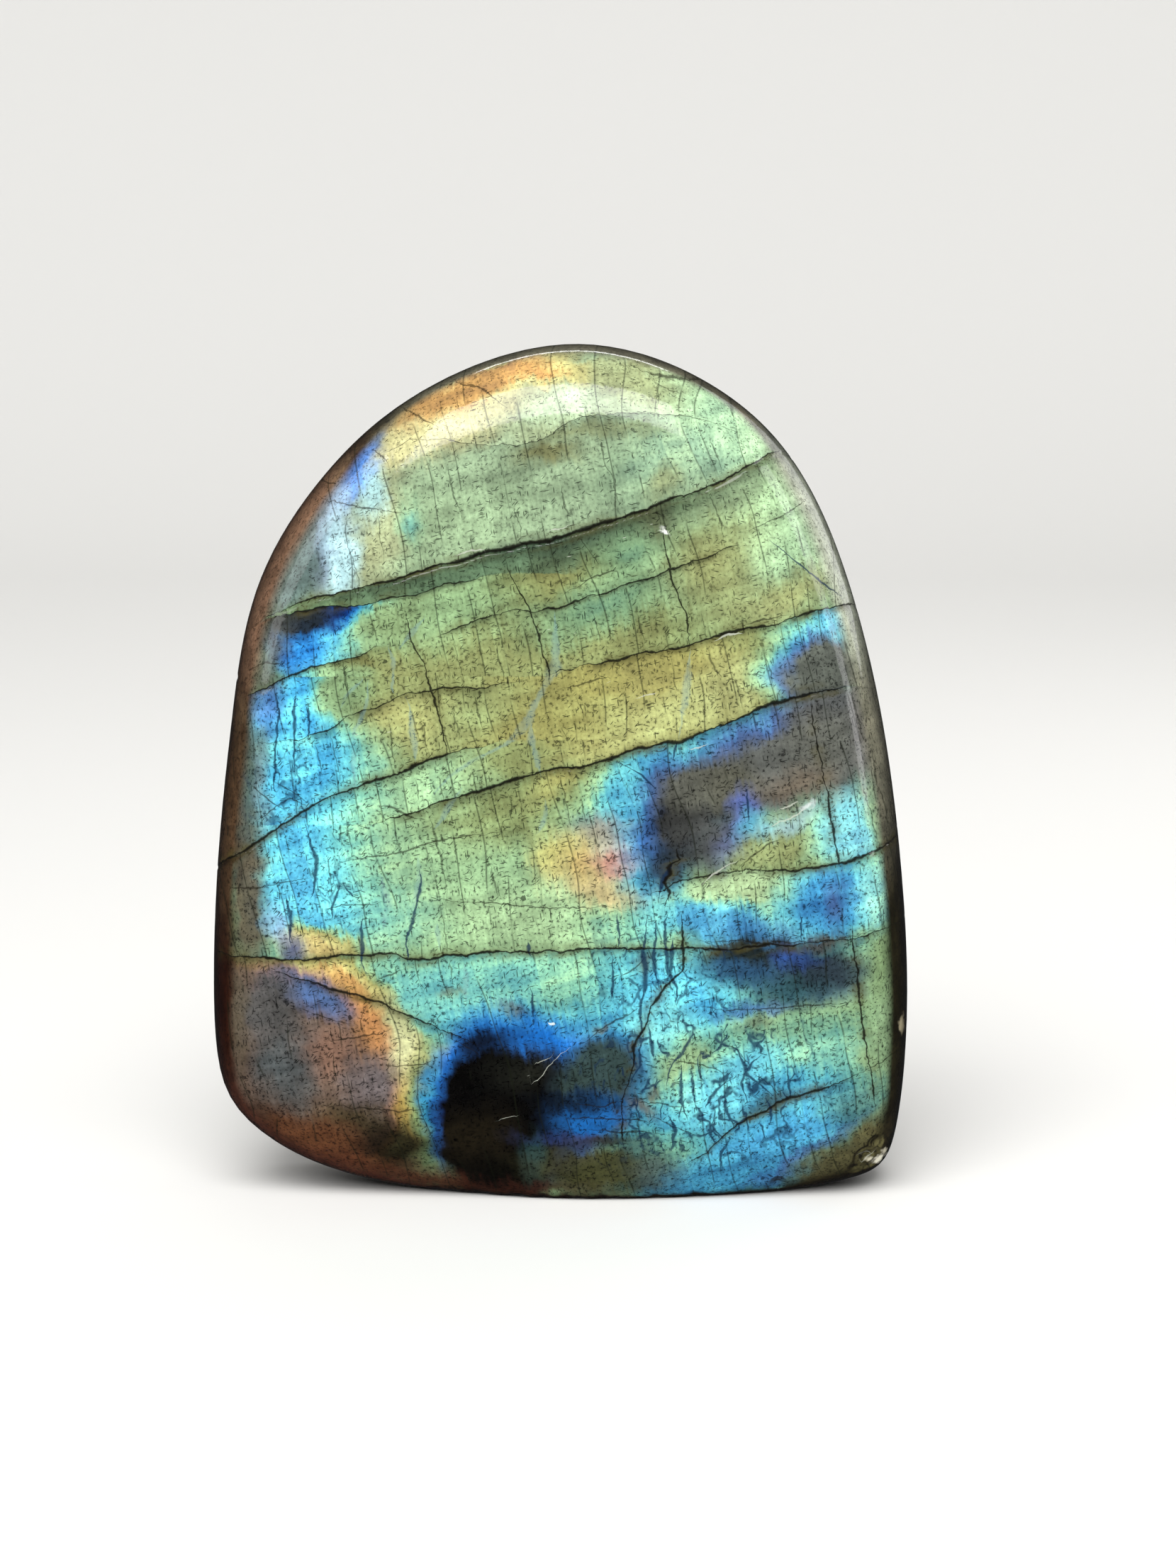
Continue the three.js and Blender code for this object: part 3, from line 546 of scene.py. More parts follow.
    Glaze("russet foot", (-20, 2.2), (9, 2.2), -10, 0.7, (106, 58, 36), 0.92),
    Glaze("umber margin", (-39.2, 25), (2, 10), 0, 0.5, (64, 36, 20), 0.95),
    Glaze("tan margin", (-36.8, 23.5), (1.3, 7.5), 0, 0.8, (104, 94, 76), 0.8),
    # brown stains along the seams
    Glaze("stain by the brook", (9.3, 29.6), (1.5, 1), 30, 0.9, (98, 84, 40), 0.7),
    Glaze("stain at the waist", (4.2, 22), (0.9, 0.7), 20, 0.9, (104, 84, 42), 0.7),
    Glaze("stain at the toe", (9.6, 12.6), (1.9, 0.9), -34, 0.9, (110, 78, 44), 0.7),
    Glaze("stain in the foot", (11.3, 14.2), (0.9, 0.7), 0, 0.9, (112, 86, 48), 0.7),
    Glaze("stain by the toe seam", (24, 12.4), (2.2, 0.9), 20, 0.9, (70, 74, 40), 0.7),
    Glaze("stain at the shoulder", (-22.4, 64.2), (1.5, 0.6), -20, 0.9, (110, 100, 50), 0.6),
    Glaze("stain at the waist left", (-6, 24), (1.4, 0.5), -12, 0.9, (110, 84, 56), 0.6),
    Glaze("stain left of the waist", (-12, 25.6), (1.4, 0.5), 10, 0.9, (124, 112, 72), 0.6),
    # the ground rim at the lower right
    Glaze("violet corner", (28.4, 5), (6.4, 0.9), 35, 0.9, (66, 108, 200), 0.7),
    Glaze("umber heel", (34.6, 0.4), (16, 6.8), 37, 0.3, (108, 100, 62), 0.97),
]

# The stone's own colour, seen on its rim, its back and its base, with a painted highlight on the
# upper right rim.
DARK_BODY, PALE_BODY = (38, 33, 24), (96, 86, 62)
RIM_GLAZES = [
    Glaze("crown rim", (2, 100), (26, 12), 0, 0.4, (122, 119, 98), 0.92),
    # a painted highlight: the rim made pale where it would mirror the light
    Glaze("upper right rim", (33, 76), (9, 15), 24, 0.5, (204, 212, 188), 0.94),
    Glaze("right rim", (39, 52), (6, 14), 4, 0.6, (136, 134, 114), 0.9),
    Glaze("lower right rim", (41, 24), (8, 20), 0, 0.5, (38, 34, 16), 0.97),
    Glaze("upper left rim", (-34, 74), (8, 16), -24, 0.5, (132, 100, 78), 0.9),
    Glaze("left rim", (-41, 46), (7, 16), -4, 0.6, (90, 66, 44), 0.92),
    Glaze("lower left rim", (-41, 22), (6, 12), 0, 0.6, (52, 20, 8), 0.97),
    Glaze("left heel", (-30, 4), (18, 9), -20, 0.4, (98, 54, 38), 0.95),
    Glaze("night heel", (-4, 0), (10, 5), 0, 0.6, (48, 24, 16), 0.9),
    Glaze("right heel", (24, 0), (22, 6), 14, 0.5, (44, 38, 20), 0.95),
]

# Painted glints: sparks of light painted into chips and open cracks, over everything else.
GLINTS = [
    Glaze("corner chip", (37.8, 3.9), (0.8, 0.45), 30, 0.6, (250, 246, 226), 0.95),
    Glaze("corner spark", (36.5, 4.4), (0.4, 0.35), 0, 0.7, (236, 230, 206), 0.9),
    Glaze("corner fleck", (38.4, 5), (0.3, 0.4), 0, 0.7, (226, 220, 196), 0.9),
    Glaze("crown fleck", (12, 79.2), (0.45, 0.2), -40, 0.7, (240, 244, 236), 0.95),
    Glaze("night fleck", (-1, 22.3), (0.16, 0.14), 0, 0.7, (226, 238, 236), 0.9),
    Glaze("east fleck", (28.6, 47.6), (0.8, 0.3), 30, 0.8, (226, 232, 230), 0.7),
    Glaze("heel fleck", (40.2, 20.6), (0.35, 1), 0, 0.7, (196, 184, 150), 0.8),
]

# ---------------------------------------------------------------- paths in the span
WIDEST = 2  # the widest line, which a width curve's 1 stands for
CLEAR = 1.5  # how far apart, end to end, two fine lines in one bundle are
TIP = 0.004  # how soon past its end a line has closed, as a share of the span


def along_across(path, lying):
    """A path's points as (along, across), in order along the span."""
    return sorted(path if lying else [(z, x) for x, z in path])


def wobbled(points, seed):
    """The points with small stray steps between them, as cleavage breaks."""
    chance = random.Random(seed)
    made = [points[0]]
    for (a, b), (c, d) in zip(points, points[1:]):
        steps = max(1, round((c - a) / WOBBLE_STEP))
        for step in range(1, steps + 1):
            share = step / steps
            made.append((a + (c - a) * share, b + (d - b) * share + chance.gauss(0, WOBBLE)))
    return made


def in_span(points, lying):
    """Points in millimetres as shares of the span."""
    low = (SPAN_LEFT, SPAN_FOOT) if lying else (SPAN_FOOT, SPAN_LEFT)
    return [((a - low[0]) / SPAN, (b - low[1]) / SPAN) for a, b in points]


def in_height(*heights):
    """Heights in millimetres as shares of the span."""
    return [(height - SPAN_FOOT) / SPAN for height in heights]


def width_points(ends, widths, lying):
    """Line widths, evenly spaced between two ends, as shares: nothing outside the ends."""
    low = SPAN_LEFT if lying else SPAN_FOOT
    start, end = [(place - low) / SPAN for place in ends]
    step = (end - start) / (len(widths) - 1)
    points = [(start + step * i, width / WIDEST) for i, width in enumerate(widths)]
    return [(start - TIP, 0), *points, (end + TIP, 0)]


def bundled(lines, lying):
    """Fine lines shared out into bundles whose lines lie one after another."""
    bundles = []
    for width, path in sorted(lines, key=lambda line: along_across(line[1], lying)):
        points = along_across(path, lying)
        for bundle in bundles:
            if points[0][0] > bundle[-1][1][-1][0] + CLEAR:
                bundle.append((width, points))
                break
        else:
            bundles.append([(width, points)])
    return bundles


# ---------------------------------------------------------------- node helpers
def feed(tree, node, inputs):
    """Gives a node its inputs: values or sockets, by place or by name."""
    for key, value in inputs.items() if isinstance(inputs, dict) else enumerate(inputs):
        if isinstance(value, bpy.types.NodeSocket):
            tree.links.new(value, node.inputs[key])
        elif value is not None:
            node.inputs[key].default_value = value


def add(tree, kind, inputs=(), **settings):
    """A new node with its settings and inputs."""
    node = tree.nodes.new("ShaderNode" + kind)
    for name, value in settings.items():
        setattr(node, name, value)
    feed(tree, node, inputs)
    return node


def maths(tree, operation, *values):
    return add(tree, "Math", values, operation=operation).outputs[0]


def fade(tree, value, start, end, low=0.0, high=1.0):
    """low up to start, high from end on, and a smooth change between."""
    given = (value, start, end, low, high)
    return add(tree, "MapRange", given, interpolation_type="SMOOTHSTEP", clamp=False).outputs[0]


def spread(tree, value, amount, middle=1.0):
    """middle where value is a half, and half of amount more or less at 1 and 0."""
    return maths(tree, "MULTIPLY_ADD", maths(tree, "SUBTRACT", value, 0.5), amount, middle)


def mixed(tree, share, first, second, kind="RGBA"):
    """first where share is 0, second where it is 1."""
    made, place = {"VECTOR": (1, 4), "RGBA": (2, 6)}[kind]
    inputs = {0: share, place: first, place + 1: second}
    return add(tree, "Mix", inputs, data_type=kind, clamp_factor=True).outputs[made]


def lit(tree, colour, light):
    """A colour made light times as bright."""
    grey = add(tree, "CombineColor", [light, light, light]).outputs[0]
    inputs = {0: 1.0, 6: colour, 7: grey}
    return add(tree, "Mix", inputs, data_type="RGBA", blend_type="MULTIPLY").outputs[2]


def vector_maths(tree, operation, *values, given="Vector"):
    return add(tree, "VectorMath", values, operation=operation).outputs[given]


def placed(tree, where, middle=(0, 0, 0), size=(1, 1, 1), turn=0):
    """Coordinates about middle, turned by some degrees in the show face, where 1 is size away."""
    turned = (0, math.radians(-turn), 0)
    inputs = {"Vector": where, "Location": middle, "Rotation": turned, "Scale": size}
    return add(tree, "Mapping", inputs, vector_type="TEXTURE").outputs[0]


def cloudy(tree, where, size, detail=2.0):
    """Noise with blobs about size across, from 0 to 1 and mostly between 0.3 and 0.7."""
    inputs = {"Vector": where, "Scale": 1 / size, "Detail": detail}
    return add(tree, "TexNoise", inputs).outputs["Fac"]


def drifted(tree, where, noise_where, size, amounts, detail=2.0):
    """where, moved about by up to half of amounts, in blobs about size across."""
    inputs = {"Vector": noise_where, "Scale": 1 / size, "Detail": detail}
    noise = add(tree, "TexNoise", inputs).outputs["Color"]
    noise = vector_maths(tree, "SUBTRACT", noise, (0.5, 0.5, 0.5))
    return vector_maths(tree, "MULTIPLY_ADD", noise, amounts, where)


def cells(tree, where, dimensions="3D", feature="F1", size=1.0):
    """Voronoi cells about size across."""
    key = "W" if dimensions == "1D" else "Vector"
    return add(tree, "TexVoronoi", {key: where, "Scale": 1 / size}, feature=feature,
               voronoi_dimensions=dimensions).outputs


def highest(tree, values):
    """The highest of some values, which may be made one by one as they are asked for."""
    values = iter(values)
    top = next(values)
    for value in values:
        top = maths(tree, "MAXIMUM", top, value)
    return top


def srgb(red, green, blue):
    """A paint colour, 0 to 255, as the light values that nodes work in."""
    shares = [value / 255 for value in (red, green, blue)]
    linear = [c / 12.92 if c <= 0.04045 else ((c + 0.055) / 1.055) ** 2.4 for c in shares]
    return (*linear, 1)


def group(name, inputs, outputs):
    """An empty node group, with its input and output sockets."""
    tree = bpy.data.node_groups.new(name, "ShaderNodeTree")
    for direction, sockets in (("INPUT", inputs), ("OUTPUT", outputs)):
        for socket, kind in sockets:
            tree.interface.new_socket(socket, in_out=direction, socket_type="NodeSocket" + kind)
    return tree, tree.nodes.new("NodeGroupInput").outputs, tree.nodes.new("NodeGroupOutput").inputs


def use(tree, name, inputs):
    """What a node group gives for these inputs."""
    return add(tree, "Group", inputs, node_tree=bpy.data.node_groups[name]).outputs


CORE = 0.12  # how far from its middle, as a share of its width, a line is at its darkest


def line_group():
    """A line drawn along a curve: 1 in its core, 0 beside it."""
    tree, given, made = group(
        "drawn line",
        [("Across", "Float"), ("Path", "Float"), ("Width", "Float"), ("Fray", "Float")],
        [("Line", "Float"), ("Offset", "Float"), ("Width", "Float")])
    offset = maths(tree, "MULTIPLY", maths(tree, "SUBTRACT", given["Across"], given["Path"]), SPAN)
    width = maths(tree, "MULTIPLY", maths(tree, "MULTIPLY", given["Width"], WIDEST), given["Fray"])
    half = maths(tree, "MULTIPLY", width, 0.5)
    core = maths(tree, "MULTIPLY", width, CORE)
    tree.links.new(fade(tree, maths(tree, "ABSOLUTE", offset), half, core), made["Line"])
    tree.links.new(offset, made["Offset"])
    tree.links.new(width, made["Width"])


def oval_group():
    """How far inside a soft oval a point is: strength in its middle, 0 outside."""
    tree, given, made = group(
        "soft oval",
        [("Where", "Vector"), ("Middle", "Vector"), ("Along", "Vector"), ("Across", "Vector"),
         ("Start", "Float"), ("End", "Float"), ("Strength", "Float")],
        [("Inside", "Float")])
    spot = vector_maths(tree, "SUBTRACT", given["Where"], given["Middle"])
    along = vector_maths(tree, "DOT_PRODUCT", spot, given["Along"], given="Value")
    across = vector_maths(tree, "DOT_PRODUCT", spot, given["Across"], given="Value")
    away = maths(tree, "MULTIPLY_ADD", along, along, maths(tree, "MULTIPLY", across, across))
    away = maths(tree, "SQRT", away)
    inside = fade(tree, away, given["Start"], given["End"], 0.0, given["Strength"])
    tree.links.new(inside, made["Inside"])


# ---------------------------------------------------------------- the ground of the pattern
LEAN = 0.2  # how far the twin planes lean to the left for each millimetre up
STRAY, STRAY_SIZE = 0.55, 0.8  # how far in all, and in what blobs, the lines stray
FRAY_SIZE = 3  # in what blobs their width changes
FRAY = (0.32, 0.68, 0.55, 1.65)  # between which noises, and from thin to thick

# What every pattern reads: places in millimetres and the same leaned with the twin planes,
# the depth behind the show face, the lines' stray, shares of the span across and up, the
# lines' change of width, and the way a surface faces, from -1 in front to 1 behind.
Ground = namedtuple("Ground", "mm leaned depth stray unit_x unit_z fray facing")


def lay_ground(tree):
    """The nodes that every pattern reads."""
    coordinates = add(tree, "TexCoord").outputs
    mm = vector_maths(tree, "MULTIPLY", coordinates["Object"], (1 / MM, 1 / MM, 1 / MM))
    x, y, z = add(tree, "SeparateXYZ", [mm]).outputs
    leaned_x = maths(tree, "MULTIPLY_ADD", z, LEAN, x)
    return Ground(
        mm=mm,
        leaned=add(tree, "CombineXYZ", [leaned_x, y, z]).outputs[0],
        depth=maths(tree, "SUBTRACT", y, FACE),
        stray=spread(tree, cloudy(tree, mm, STRAY_SIZE), STRAY / SPAN, 0),
        unit_x=maths(tree, "MULTIPLY_ADD", x, 1 / SPAN, -SPAN_LEFT / SPAN),
        unit_z=maths(tree, "MULTIPLY_ADD", z, 1 / SPAN, -SPAN_FOOT / SPAN),
        fray=fade(tree, cloudy(tree, mm, FRAY_SIZE, 3), *FRAY),
        facing=add(tree, "SeparateXYZ", [coordinates["Normal"]]).outputs["Y"])


# ---------------------------------------------------------------- its seams and fine lines
HALO = 1.5  # how far the painted olive-brown shade beside a seam reaches on either side
BAND_TOP = 0.02  # how far over the seam its dim band reaches, as a share of the shade
BAND_WIDTHS = (0.02, 0.3)  # the line widths between which a seam's dim band comes in
HALO_WIDTHS = (0.05, 0.5)  # and its halo
LINE_DIP = 0.1  # how far fine lines shift for each millimetre towards the back
SEAM_EDGE = 0.12  # half the width over which a seam cuts a patch off
SeamWork = namedtuple("SeamWork", "line band halo offset path_curve width_curve")


def curve_through(tree, along, points):
    """A curve node whose height follows the points, level past their ends."""
    node = add(tree, "FloatCurve", [1.0, along])
    line = node.mapping.curves[0]
    line.points[0].location, line.points[1].location = points[0], points[-1]
    for point in points[1:-1]:
        line.points.new(*point)
    for point in line.points:
        point.handle_type = "VECTOR"
    node.mapping.extend = "HORIZONTAL"
    node.mapping.update()
    return node


def line_axes(ground, lying):
    """What is counted along a line, and what across it."""
    if lying:
        return ground.unit_x, ground.unit_z
    return ground.unit_z, ground.unit_x


def cut_seam(tree, ground, seam, lying):
    """The nodes that draw one seam."""
    along, across = line_axes(ground, lying)
    points = along_across(seam.path, lying)
    path = curve_through(tree, along, in_span(wobbled(points, seam.name), lying))
    ends = (points[0][0], points[-1][0])
    width = curve_through(tree, along, width_points(ends, seam.widths, lying))
    across = maths(tree, "ADD", across, ground.stray)
    across = maths(tree, "MULTIPLY_ADD", ground.depth, -seam.dip / SPAN, across)
    made = use(tree, "drawn line", {
        "Across": across, "Path": path.outputs[0], "Width": width.outputs[0], "Fray": ground.fray})
    band = None
    if seam.shade:  # painted shade: dim below the seam, fading with distance, and cut off sharply over it
        share = maths(tree, "MULTIPLY", made["Offset"], 1 / seam.shade)
        band = maths(tree, "MULTIPLY", fade(tree, share, -1.0, 0.0),
                     fade(tree, share, BAND_TOP, 0.0))
        band = maths(tree, "MULTIPLY", band, fade(tree, made["Width"], *BAND_WIDTHS))
    # The halo: painted olive-brown shade beside the seam
    halo = fade(tree, maths(tree, "ABSOLUTE", made["Offset"]), HALO, 0.0)
    halo = maths(tree, "MULTIPLY", halo, fade(tree, made["Width"], *HALO_WIDTHS))
    return SeamWork(made["Line"], band, halo, made["Offset"], path.mapping, width.mapping)


def draw_lines(tree, ground, lines, lying):
    """The nodes that draw a list of fine lines, a bundle at a time."""
    along, across = line_axes(ground, lying)
    across = maths(tree, "ADD", across, ground.stray)
    across = maths(tree, "MULTIPLY_ADD", ground.depth, -LINE_DIP / SPAN, across)

    def draw(bundle):
        middle, width = [], []
        for thick, points in bundle:
            middle += in_span(wobbled(points, str(points)), lying)
            width += width_points((points[0][0], points[-1][0]), (0, thick, thick, 0), lying)
        return use(tree, "drawn line", {
            "Across": across, "Path": curve_through(tree, along, middle).outputs[0],
            "Width": curve_through(tree, along, width).outputs[0], "Fray": ground.fray})["Line"]

    return highest(tree, (draw(bundle) for bundle in bundled(lines, lying)))


class Sides:
    """For each seam, how much a point is over or under it, made when first asked for."""

    def __init__(self, tree, seams):
        self.tree, self.seams, self.made = tree, seams, {}

    def share(self, name, over):
        if (name, over) not in self.made:
            start = -SEAM_EDGE if over else SEAM_EDGE
            offset = self.seams[name].offset
            self.made[name, over] = fade(self.tree, offset, start, -start)
        return self.made[name, over]


# ---------------------------------------------------------------- its patches and glazes
BARE_FLASH = (0.46, 0.9, 0.0, 1.0)  # order, glow and veil outside every patch


def inside_of(tree, sides, where, oval, strength):
    """How far inside an oval patch or glaze a point is, on its side of its seams."""
    turn, (long, wide) = math.radians(oval.turn), oval.size
    inside = use(tree, "soft oval", {
        "Where": where, "Middle": (oval.middle[0], 0, oval.middle[1]),
        "Along": (math.cos(turn) / long, 0, math.sin(turn) / long),
        "Across": (-math.sin(turn) / wide, 0, math.cos(turn) / wide),
        "Start": 1 + oval.soft, "End": 1 - oval.soft, "Strength": strength})["Inside"]
    if oval.under:
        inside = maths(tree, "MULTIPLY", inside, sides.share(oval.under, False))
    if oval.over:
        inside = maths(tree, "MULTIPLY", inside, sides.share(oval.over, True))
    return inside


def inside_any(tree, sides, where, ovals):
    """How far inside each of some glazes a point is."""
    return [inside_of(tree, sides, where, oval, oval.strength) for oval in ovals]


def lay_flash(tree, sides, where):
    """(order, glow, veil) of the flash."""
    flash = BARE_FLASH
    for patch in PATCHES:
        inside = inside_of(tree, sides, where, patch, 1.0)
        flash = mixed(tree, inside, flash, (patch.order, patch.glow, patch.veil, 1.0))
    return add(tree, "SeparateColor", [flash]).outputs


def lay_glazes(tree, sides, where, below, glazes):
    """A colour with glazes laid over it."""
    for glaze in glazes:
        inside = inside_of(tree, sides, where, glaze, glaze.strength)
        below = mixed(tree, inside, below, srgb(*glaze.colour))
    return below


def flash_ramp(tree, order):
    """The colour of the flash at a place in its order."""
    ramp = add(tree, "ValToRGB", [order])
    stops = ramp.color_ramp.elements
    for stop, (place, colour) in zip(stops, (FLASH[0], FLASH[-1])):
        stop.position, stop.color = place, srgb(*colour)
    for place, colour in FLASH[1:-1]:
        stops.new(place).color = srgb(*colour)
    return ramp.outputs[0]


# ---------------------------------------------------------------- its grain
BLOCK_SEAMS = ("crown_seam", "gold_seam", "wing_seam", "heart_seam", "low_seam")
BLOCK_STEP = (31.7, 5.3, 47.9)  # how far the grain jumps from one block to the next
FIBRES = (0.42, 1.5, 5)  # a fibre's width, depth and length, along the twin planes
CLOUDS, SPECKS = 3.2, 0.36  # how big they are
STREAKS, STREAK_TURN = (9, 2.4, 1.5), 14  # a streak's size and its turn
COLUMN = 3.1  # width of a twin column
COLUMN_DRIFT, COLUMN_DRIFT_SIZE = 6.0, 16  # how far in all, and in what blobs, columns bend
COLUMN_LINE = (0.045, 0.01)  # the edge of the line between two columns, in columns
COLUMN_GATE = (2, 9, 7)  # size of the stretches in which that line shows
GATE = (0.44, 0.56)  # the noise from which, and up to which, such a stretch opens
Grain = namedtuple("Grain", "fibres clouds streaks specks column twin_line")


def lay_blocks(tree, ground, seams):
    """Coordinates that jump from block to block, so the grain breaks at the seams."""
    block = 0.0
    for name in BLOCK_SEAMS:
        block = maths(tree, "ADD", block, maths(tree, "GREATER_THAN", seams[name].offset, 0.0))
    step = add(tree, "CombineXYZ", [block, block, block]).outputs[0]
    return block, [vector_maths(tree, "MULTIPLY_ADD", step, BLOCK_STEP, where)
                   for where in (ground.mm, ground.leaned)]


def raise_columns(tree, ground, block):
    """Twin columns: each one's chance from 0 to 1, and the thin lines between them."""
    x = add(tree, "SeparateXYZ", [ground.leaned]).outputs["X"]
    bend = cloudy(tree, ground.mm, COLUMN_DRIFT_SIZE, 1)
    across = maths(tree, "MULTIPLY_ADD", bend, COLUMN_DRIFT, x)
    across = maths(tree, "MULTIPLY_ADD", block, BLOCK_STEP[0], across)
    column = cells(tree, across, "1D", size=COLUMN)["Color"]
    edge = cells(tree, across, "1D", "DISTANCE_TO_EDGE", COLUMN)["Distance"]
    gate = fade(tree, cloudy(tree, placed(tree, ground.leaned, size=COLUMN_GATE), 1), *GATE)
    line = maths(tree, "MULTIPLY", fade(tree, edge, *COLUMN_LINE), gate)
    return add(tree, "SeparateColor", [column]).outputs[0], line


def raise_grain(tree, ground, block, block_mm, block_leaned):
    """The noises that break up the flash and the light in the stone."""
    fibres = cloudy(tree, placed(tree, block_leaned, size=FIBRES), 1, 3)
    clouds = cloudy(tree, block_mm, CLOUDS, 3)
    streaks = cloudy(tree, placed(tree, block_mm, size=STREAKS, turn=STREAK_TURN), 1, 3)
    specks = cloudy(tree, ground.mm, SPECKS)
    return Grain(fibres, clouds, streaks, specks, *raise_columns(tree, ground, block))


# ---------------------------------------------------------------- its scattered marks
# Needles lie in four directions, each with its own cells: their turn, the cells' length
# and thickness, and the biggest needle's reach as a share of its cell.
NEEDLES = [
    (14, 1.9, 0.26, 0.3), (-14, 1.6, 0.25, 0.29), (50, 1.5, 0.27, 0.29), (98, 2.1, 0.28, 0.3),
]
NEEDLE_LEAST, NEEDLE_CORE = 0.18, 0.6
SPOTS, SPOT_LEAST, SPOT_REACH, SPOT_CORE = 4, 0.5, 0.09, 0.7  # their cells' size comes first
SPOT_DRIFT, SPOT_DRIFT_SIZE = (0.6, 0.6, 0.6), 0.4  # what makes spots ragged
SCRATCHES = [(26, 5.5, 0), (12, 3.5, 50)]  # turn, their cells' length and where they start
SCRATCH_THICK, SCRATCH_LEAST, SCRATCH_REACH, SCRATCH_CORE = 0.44, 0.5, 0.15, 0.5
SCRATCH_GLINT_PLACES = [  # where scratches catch the light, painted bright as glints
    Glaze("under the crown", (4, 78), (12, 3.4), 16, 0.4, None, 1),
    Glaze("by the centre twin", (0, 68), (4, 3), 0, 0.5, None, 1),
    Glaze("on the gold", (6, 62), (5, 2.4), 14, 0.5, None, 1),
    Glaze("on the island", (27, 46), (4, 3), 20, 0.5, None, 1),
    Glaze("in the night", (-1, 17), (5, 3), 20, 0.5, None, 0.8),
    Glaze("over the wing", (-22, 56), (5, 2), 20, 0.5, None, 1),
]
CRACKLE_SIZE, CRACKLE_LINE = (2.3, 4, 4.6), (0.075, 0.015)  # its cells, and its lines' edge
CRACKLE_DRIFT, CRACKLE_DRIFT_SIZE = (3.4, 3.4, 3.4), 2.5
CRACKLE_GATE = 2.6  # size of the stretches in which it shows
CRACKLE_PLACES = [
    Glaze("foot", (17, 15), (14, 11), 0, 0.4, None, 1),
    Glaze("waist", (12, 28), (9, 6), 0, 0.5, None, 0.8),
    Glaze("flank", (-31.5, 49), (4.5, 5), 0, 0.5, None, 0.8),
    Glaze("belly left", (-25, 37), (5, 5), 0, 0.5, None, 0.6),
]


def scattered(tree, where, least, reach, core, size=1.0, places=None):
    """A mark in each cell whose chance is over least: the higher, the bigger, up to reach.

    core is the share of its reach in which a mark is full, and places keep marks away
    where they are 0."""
    cell = cells(tree, where, size=size)
    chance = add(tree, "SeparateColor", [cell["Color"]]).outputs[0]
    if places:
        chance = maths(tree, "MULTIPLY", chance, places)
    edge = fade(tree, chance, least, 1.0, 0.0, reach)
    return fade(tree, cell["Distance"], edge, maths(tree, "MULTIPLY", edge, core))


def scatter_needles(tree, ground):
    """Dark oxide needles, and a few bigger spots."""
    marks = []
    for turn, long, thick, reach in NEEDLES:
        where = placed(tree, ground.mm, (turn, 0, turn), (long, thick, thick), turn)
        marks.append(scattered(tree, where, NEEDLE_LEAST, reach, NEEDLE_CORE))
    where = drifted(tree, ground.mm, ground.mm, SPOT_DRIFT_SIZE, SPOT_DRIFT)
    marks.append(scattered(tree, where, SPOT_LEAST, SPOT_REACH, SPOT_CORE, SPOTS))
    return highest(tree, marks)


def scatter_scratches(tree, ground, sides):
    """Fine scratch marks in the polish, painted bright as glints where they catch the light."""
    places = highest(tree, inside_any(tree, sides, ground.mm, SCRATCH_GLINT_PLACES))
    marks = []
    for turn, long, start in SCRATCHES:
        size = (long, SCRATCH_THICK, SCRATCH_THICK)
        where = placed(tree, ground.mm, (start, 0, start), size, turn)
        marks.append(scattered(tree, where, SCRATCH_LEAST, SCRATCH_REACH, SCRATCH_CORE,
                               places=places))
    return highest(tree, marks)


def spread_crackle(tree, ground, sides):
    """A tangle of fine broken lines."""
    places = inside_any(tree, sides, ground.mm, CRACKLE_PLACES)
    where = drifted(tree, ground.leaned, ground.mm, CRACKLE_DRIFT_SIZE, CRACKLE_DRIFT)
    where = placed(tree, where, size=CRACKLE_SIZE)
    edge = cells(tree, where, feature="DISTANCE_TO_EDGE")["Distance"]
    line = fade(tree, edge, *CRACKLE_LINE)
    gate = fade(tree, cloudy(tree, ground.mm, CRACKLE_GATE), *GATE)
    return maths(tree, "MULTIPLY", maths(tree, "MULTIPLY", line, gate), highest(tree, places))


# ---------------------------------------------------------------- polished labradorite
STONE_LIGHT = 0.72  # how much of the light the flash gives back
FIBRE_SHADE = 0.75 * STONE_LIGHT  # how much light and shade each noise makes
SHADES = {"specks": 0.9, "clouds": 0.8, "streaks": 1.2, "column": 0.2}
FIBRE_STRAY = 0.03  # how far each noise moves the flash along its order
STRAYS = {"clouds": 0.07, "streaks": 0.085, "specks": 0.03, "column": 0.03}
STRAY_TURN = (0.37, 0.5, 1.0, -0.5)  # past green it moves half as far, the other way
OVAL_DRIFTS = [(8, (5.5, 0, 4.5), 2), (1.8, (2.2, 0, 2.2), 4)]  # blobs, how far, detail
OVAL_FRAY = 1.8  # how far in all the fibres fray an oval
MIRRORED, MIRROR_SHIFT = (-0.9, 1, 0.9), (8, 0, 6)  # how the back repeats the show face
BACK_PATCHES, BACK_FLASH = 18, (0.44, 0.6, 0.0, 0.6)  # size and strength of the flash there
SPARK_DRIFT, SPARK_DRIFT_SIZE = (1.6, 0, 1.6), 0.9  # what makes a chip's glint ragged
SPARK_FACING = (-0.15, -0.4)  # glints are on the front only
MILK = (206, 208, 196)  # what a patch's veil is made of

# Windows of fades: the values between which something changes, and what it changes to.
BODY_CLOUDS = (0.35, 0.68)  # from the dark to the pale body
BODY_PAINTED_SHADE = (-0.1, -0.6, 0.5, 1.15)  # painted shade: dim at the sides and behind, brighter in front
FRONT_FLASH, BEHIND_FLASH = (-0.55, -0.8), (0.7, 0.95)  # how nearly level a surface must face
CROWN_HEIGHTS, CROWN_HELP = (84, 94), (0.0, -0.2)  # the crown may lean back this much more
SPECK_NOISE = (0.33, 0.42)  # below it the stone is speckled dark
SPECK_HEIGHTS, SPECK_LIGHT = (88, 50), (0.7, 0.35)  # and the specks are fainter at the top
SEAM_SHADE, NEEDLE_SHADE = (0, 1, 1, 0.5), (0, 1, 1, 0.25)
MILK_CLOUDS, SEAM_SHADE_STREAKS = (0.2, 0.52), (0.36, 0.62)  # where veins and the painted shade beside seams fade out
